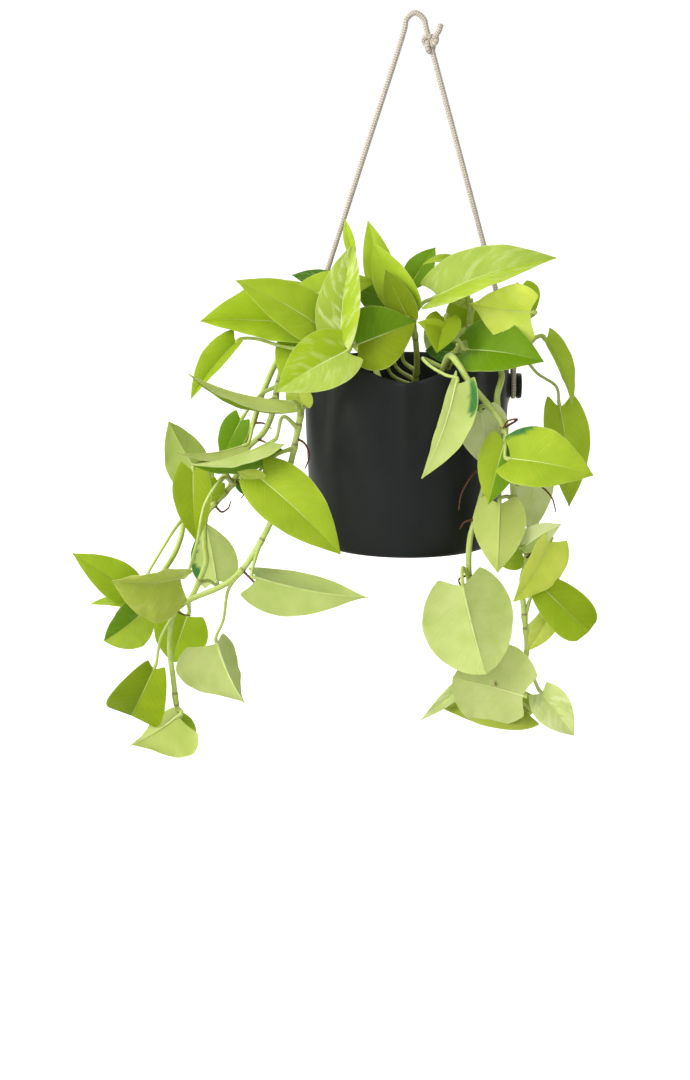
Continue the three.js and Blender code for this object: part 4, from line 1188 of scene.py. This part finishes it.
def grow_blade(growth, shape, surface, plant, seed):
    """A blade with two faces and a thin margin, its midrib sunk above and raised beneath."""
    u, v = np.meshgrid(BLADE_ROWS, BLADE_COLUMNS, indexing="ij")
    middle = surface(u, v)
    du = surface(u + 0.01, v) - surface(u - 0.01, v)
    dv = surface(u, v + 0.01) - surface(u, v - 0.01)
    normal = np.cross(dv, du)
    normal /= np.linalg.norm(normal, axis=-1)[..., None]
    half = plant.blade / MM / 2 * (1 - MARGIN_THINNING * np.abs(v) ** 6)
    groove = RIB_GROOVE * hump(v * shape["width"] / 2, 0, RIB_GROOVE_WIDTH) * (1 - u)
    order = (u - VEIN_SWEEP * np.abs(v) ** VEIN_BEND) * SIDE_VEINS
    near_vein = smooth(0.3, 0.5, np.abs((order % 1) - 0.5))
    furrow = VEIN_FURROW * shape["width"] * near_vein * np.sin(math.pi * np.clip(np.abs(v), 0, 1))
    upper = middle + normal * (half - groove - furrow * 0.5)[..., None]
    lower = middle - normal * (half + groove + furrow * 0.25)[..., None]
    rows, columns = u.shape
    layer = rows * columns
    corner = np.arange(layer).reshape(rows, columns)
    a, b, c, d = corner[:-1, :-1], corner[:-1, 1:], corner[1:, 1:], corner[1:, :-1]
    top = np.stack((a, b, c, d), axis=-1).reshape(-1, 4)
    under = top[:, ::-1] + layer
    rim = (
        [(0, j) for j in range(columns)]
        + [(i, columns - 1) for i in range(1, rows)]
        + [(rows - 1, j) for j in range(columns - 2, -1, -1)]
        + [(i, 0) for i in range(rows - 2, 0, -1)]
    )
    rim = np.array([corner[i, j] for i, j in rim])
    ahead = np.roll(rim, -1)
    edge = np.stack((ahead, rim, rim + layer, ahead + layer), axis=-1)
    faces = np.vstack((top, under, edge)).tolist()

    above, beneath, deep, cream = GREENS[shape["green"]]
    tones = np.empty((2, rows, columns, 4))
    tones[0], tones[1] = linear(above), linear(beneath)
    # painted light and shade: one half of the blade takes another green for how light falls on that half
    # of the folded blade, as well as its own colour
    if "shade" in shape:
        way, green = shape["shade"]
        axis = {"left": (-1, 0, 0), "right": (1, 0, 0), "upper": (0, 0, 1), "lower": (0, 0, -1)}[way]
        sideways = surface(0.4, 1.0) - surface(0.4, -1.0)
        shaded = np.sign(v) == np.sign(sideways @ np.array(axis))
        tones[0][shaded], tones[1][shaded] = linear(GREENS[green][0]), linear(GREENS[green][1])
    tones[..., :3] *= 1 + 0.06 * math.sin(37 * seed)
    for patch_u, patch_v, reach_u, reach_v in shape.get("patches", ()):
        near = np.hypot((u - patch_u) / reach_u, (v - patch_v) / reach_v)
        near += 0.12 * np.sin(40 * u + 23 * v)
        tones += (np.array(linear(DEEP_PATCH)) - tones) * smooth(1.1, 0.85, near)[..., None]
    marks = np.zeros((2, rows, columns, 3))
    marks[0, ..., 0], marks[0, ..., 1] = deep, cream
    marks[1, ..., 0], marks[1, ..., 1] = 0.1 * deep, 0.4 * cream
    for spot_u, spot_v in shape.get("spots", ()):
        near = np.hypot((u - spot_u) * 60, (v - spot_v) * shape["width"] / 2)
        marks[..., 2] = np.maximum(marks[..., 2], smooth(2.0, 1.0, near))
    on_blade = np.stack((u, v, np.full_like(u, seed)), axis=-1).reshape(-1, 3)
    places = np.vstack((upper.reshape(-1, 3), lower.reshape(-1, 3)))
    on_both = np.vstack((on_blade, on_blade))
    growth.add(places, faces, LEAF_SKIN, tones.reshape(-1, 4), on_both, marks.reshape(-1, 3))

    run = np.linspace(0, RIB_END, RIB_RINGS)
    bone = surface(run, np.zeros_like(run))
    bone_normal = np.cross(
        surface(run, np.full_like(run, 0.02)) - surface(run, np.full_like(run, -0.02)),
        surface(run + 0.01, 0 * run) - surface(run - 0.01, 0 * run),
    )
    bone_normal /= np.linalg.norm(bone_normal, axis=1)[:, None]
    bone = bone - bone_normal * (plant.blade / MM / 2 + 0.3 * (1 - run))[:, None]
    thickness = (0.3 + 0.028 * shape["width"] ** 0.8) * (1 - 0.8 * run)
    rib_places, rib_faces = pipe(bone, thickness, RIB_SIDES)
    paler = np.array(linear(beneath)) * (1.12, 1.1, 1.1, 1)
    growth.add(rib_places, rib_faces, STEM_SKIN, paler, (0, 0, seed), (0, 0, 0))


def stem_tone(plant, at):
    green = np.array(linear(plant.stem_colour))
    return green * (1 + 0.05 * math.sin(11 * at))


def grow_stalk(growth, start, shape, surface, plant, seed):
    """A leaf's stalk from the stem to the notch of its blade, wide and sheathed at its foot."""
    end = surface(0.0, 0.0)
    ahead = surface(0.1, 0.0) - end
    before = end - ahead / np.linalg.norm(ahead) * 4
    reach = np.linalg.norm(end - start)
    middle = (start + before) / 2 + np.array((0, 0, 0.12 * reach))
    via = [np.array(place, float) for place in shape.get("via", [middle])]
    inside = end + ahead / np.linalg.norm(ahead) * 1.5
    centres, run = evenly([start, *via, before, end, inside], STALK_STEP)
    left = run[-1] - run
    radii = plant.petiole / MM + 1.0 * np.exp(-run / 16)
    radii = radii + 0.4 * hump(left, 4, 3) - 0.5 * hump(left, 0, 1.5)
    turns = np.arange(STALK_SIDES) * 2 * math.pi / STALK_SIDES
    channel = 1 - 0.22 * hump(turns, math.pi, 0.5)[None, :] * smooth(0, 12, left)[:, None]
    # the sheath's papery edges run up both sides of the channel for the first third
    edges = hump(turns, math.pi - 0.9, 0.3) + hump(turns, math.pi + 0.9, 0.3)
    lower_third = smooth(0.42, 0.3, run / run[-1])
    sheath = edges[None, :] * lower_third[:, None] * (0.5 + 0.5 * math.sin(9 * seed))
    growth.add_tube(centres, run, radii[:, None] * channel, turns, plant, seed, 0.75 * sheath)


def grow_stem(growth, route, joints, plant, seed):
    """The stem with its swollen nodes, each with the brown scar of an old sheath."""
    foot = np.array(route[0], float) - (0, 0, ROOT_DEPTH + 5)
    low = np.array(route[0], float) - (0, 0, 8)
    centres, run = evenly([foot, low, *route], STEM_STEP)
    at = [run[np.argmin(np.linalg.norm(centres - joint, axis=1))] for joint in joints]
    radii = plant.stem / MM * (1 - STEM_TAPER * run / run[-1])
    scar = np.zeros_like(run)
    for place in at:
        radii = radii + NODE_SWELLING * hump(run, place, 3.2)
        scar = np.maximum(scar, hump(run, place - 3.4, 0.9))
    radii = radii * np.sqrt(np.clip((run[-1] - run) / 5 + 0.08, 0, 1))
    turns = np.arange(STEM_SIDES) * 2 * math.pi / STEM_SIDES
    line = hump(turns, 4.2, 0.2)[None, :] * smooth(0.1, 0.5, np.sin(run / 23 + 9 * seed))[:, None]
    dry = np.maximum(0.8 * scar[:, None], 0.6 * line)
    growth.add_tube(centres, run, radii, turns, plant, seed, dry)


def grow_air_root(growth, route):
    """A brown air root, knobbly and thinner to its end."""
    centres, run = evenly(route, ROOT_STEP)
    blunt = np.sqrt(np.clip((run[-1] - run) / 2 + 0.1, 0, 1))
    radii = AIR_ROOT_RADIUS * (1 - 0.55 * run / run[-1]) * blunt
    radii = radii * (1 + 0.12 * np.sin(run * 2.1))
    places, faces = pipe(centres, radii, ROOT_SIDES)
    growth.add(places, faces, ROOT_SKIN, (1, 1, 1, 1), (0, 0, 0), (0, 0, 0))


class POTHOS_OT_shoot(bpy.types.Operator):
    """Adds one rooted shoot with its stem, stalks, leaves and air roots"""

    bl_idname = "pothos.add_shoot"
    bl_label = "Shoot"

    shoot: bpy.props.EnumProperty(
        name="Shoot", description="Which of the rooted shoots to add",
        items=[(name, name.replace("_", " "), "") for name in SHOOTS],
    )

    def execute(self, context):
        plant = context.scene.pothos_plant
        given = SHOOTS[self.shoot]
        route = given["route"]
        number = list(SHOOTS).index(self.shoot)
        growth = Growth()
        joints = []
        for order, shape in enumerate(given["leaves"]):
            seed = 0.37 * order + 0.61 * number
            surface = blade_surface(shape, plant.ruffle, seed)
            grow_blade(growth, shape, surface, plant, seed)
            if shape["at"] is not None:
                start = through(route, shape["at"] / (len(route) - 1))[0]
                joints.append(start)
                grow_stalk(growth, start, shape, surface, plant, seed)
        grow_stem(growth, route, joints, plant, 0.3 * number)
        for root in given.get("air_roots", ()):
            grow_air_root(growth, root)
        piece = growth.piece(self.shoot + "_foliage")
        finish_piece(piece, self.shoot, plant_materials(plant))
        return {"FINISHED"}


def plant_materials(plant):
    """The leaf, stem and root materials, made once and shared by all the shoots."""
    names = ("waxy_pothos_leaf", "juicy_stem", "dry_air_root")
    if names[0] not in bpy.data.materials:
        return [waxy_leaf(), juicy_stem(), dry_root(plant)]
    return [bpy.data.materials[name] for name in names]


# Panel, registration and the run


class POTHOS_PT_parts(bpy.types.Panel):
    """Lists the sizes, the colours and the pieces"""

    bl_idname = "POTHOS_PT_parts"
    bl_label = "Pothos"
    bl_space_type = "VIEW_3D"
    bl_region_type = "UI"
    bl_category = "Pothos"

    def draw(self, context):
        for name in ("pothos_pot", "pothos_rope", "pothos_plant"):
            settings = getattr(context.scene, name)
            box = self.layout.box()
            for label in type(settings).__annotations__:
                box.prop(settings, label)
        for operator in (POTHOS_OT_stage, POTHOS_OT_rope, POTHOS_OT_pot, POTHOS_OT_soil):
            self.layout.operator(operator.bl_idname)
        for name in SHOOTS:
            self.layout.operator(POTHOS_OT_shoot.bl_idname, text=name.replace("_", " ")).shoot = name


CLASSES = (
    PotSettings, RopeSettings, PlantSettings, POTHOS_OT_stage, POTHOS_OT_rope, POTHOS_OT_pot,
    POTHOS_OT_soil, POTHOS_OT_shoot, POTHOS_PT_parts,
)


def register():
    for item in CLASSES:
        bpy.utils.register_class(item)
    bpy.types.Scene.pothos_pot = bpy.props.PointerProperty(type=PotSettings)
    bpy.types.Scene.pothos_rope = bpy.props.PointerProperty(type=RopeSettings)
    bpy.types.Scene.pothos_plant = bpy.props.PointerProperty(type=PlantSettings)


def unregister():
    for name in ("pothos_pot", "pothos_rope", "pothos_plant"):
        delattr(bpy.types.Scene, name)
    for item in reversed(CLASSES):
        bpy.utils.unregister_class(item)


def main():
    register()
    bpy.ops.pothos.add_stage()
    bpy.ops.pothos.add_rope()
    bpy.ops.pothos.add_pot()
    bpy.ops.pothos.add_soil()
    for name in SHOOTS:
        bpy.ops.pothos.add_shoot(shoot=name)


if __name__ == "__main__":
    main()
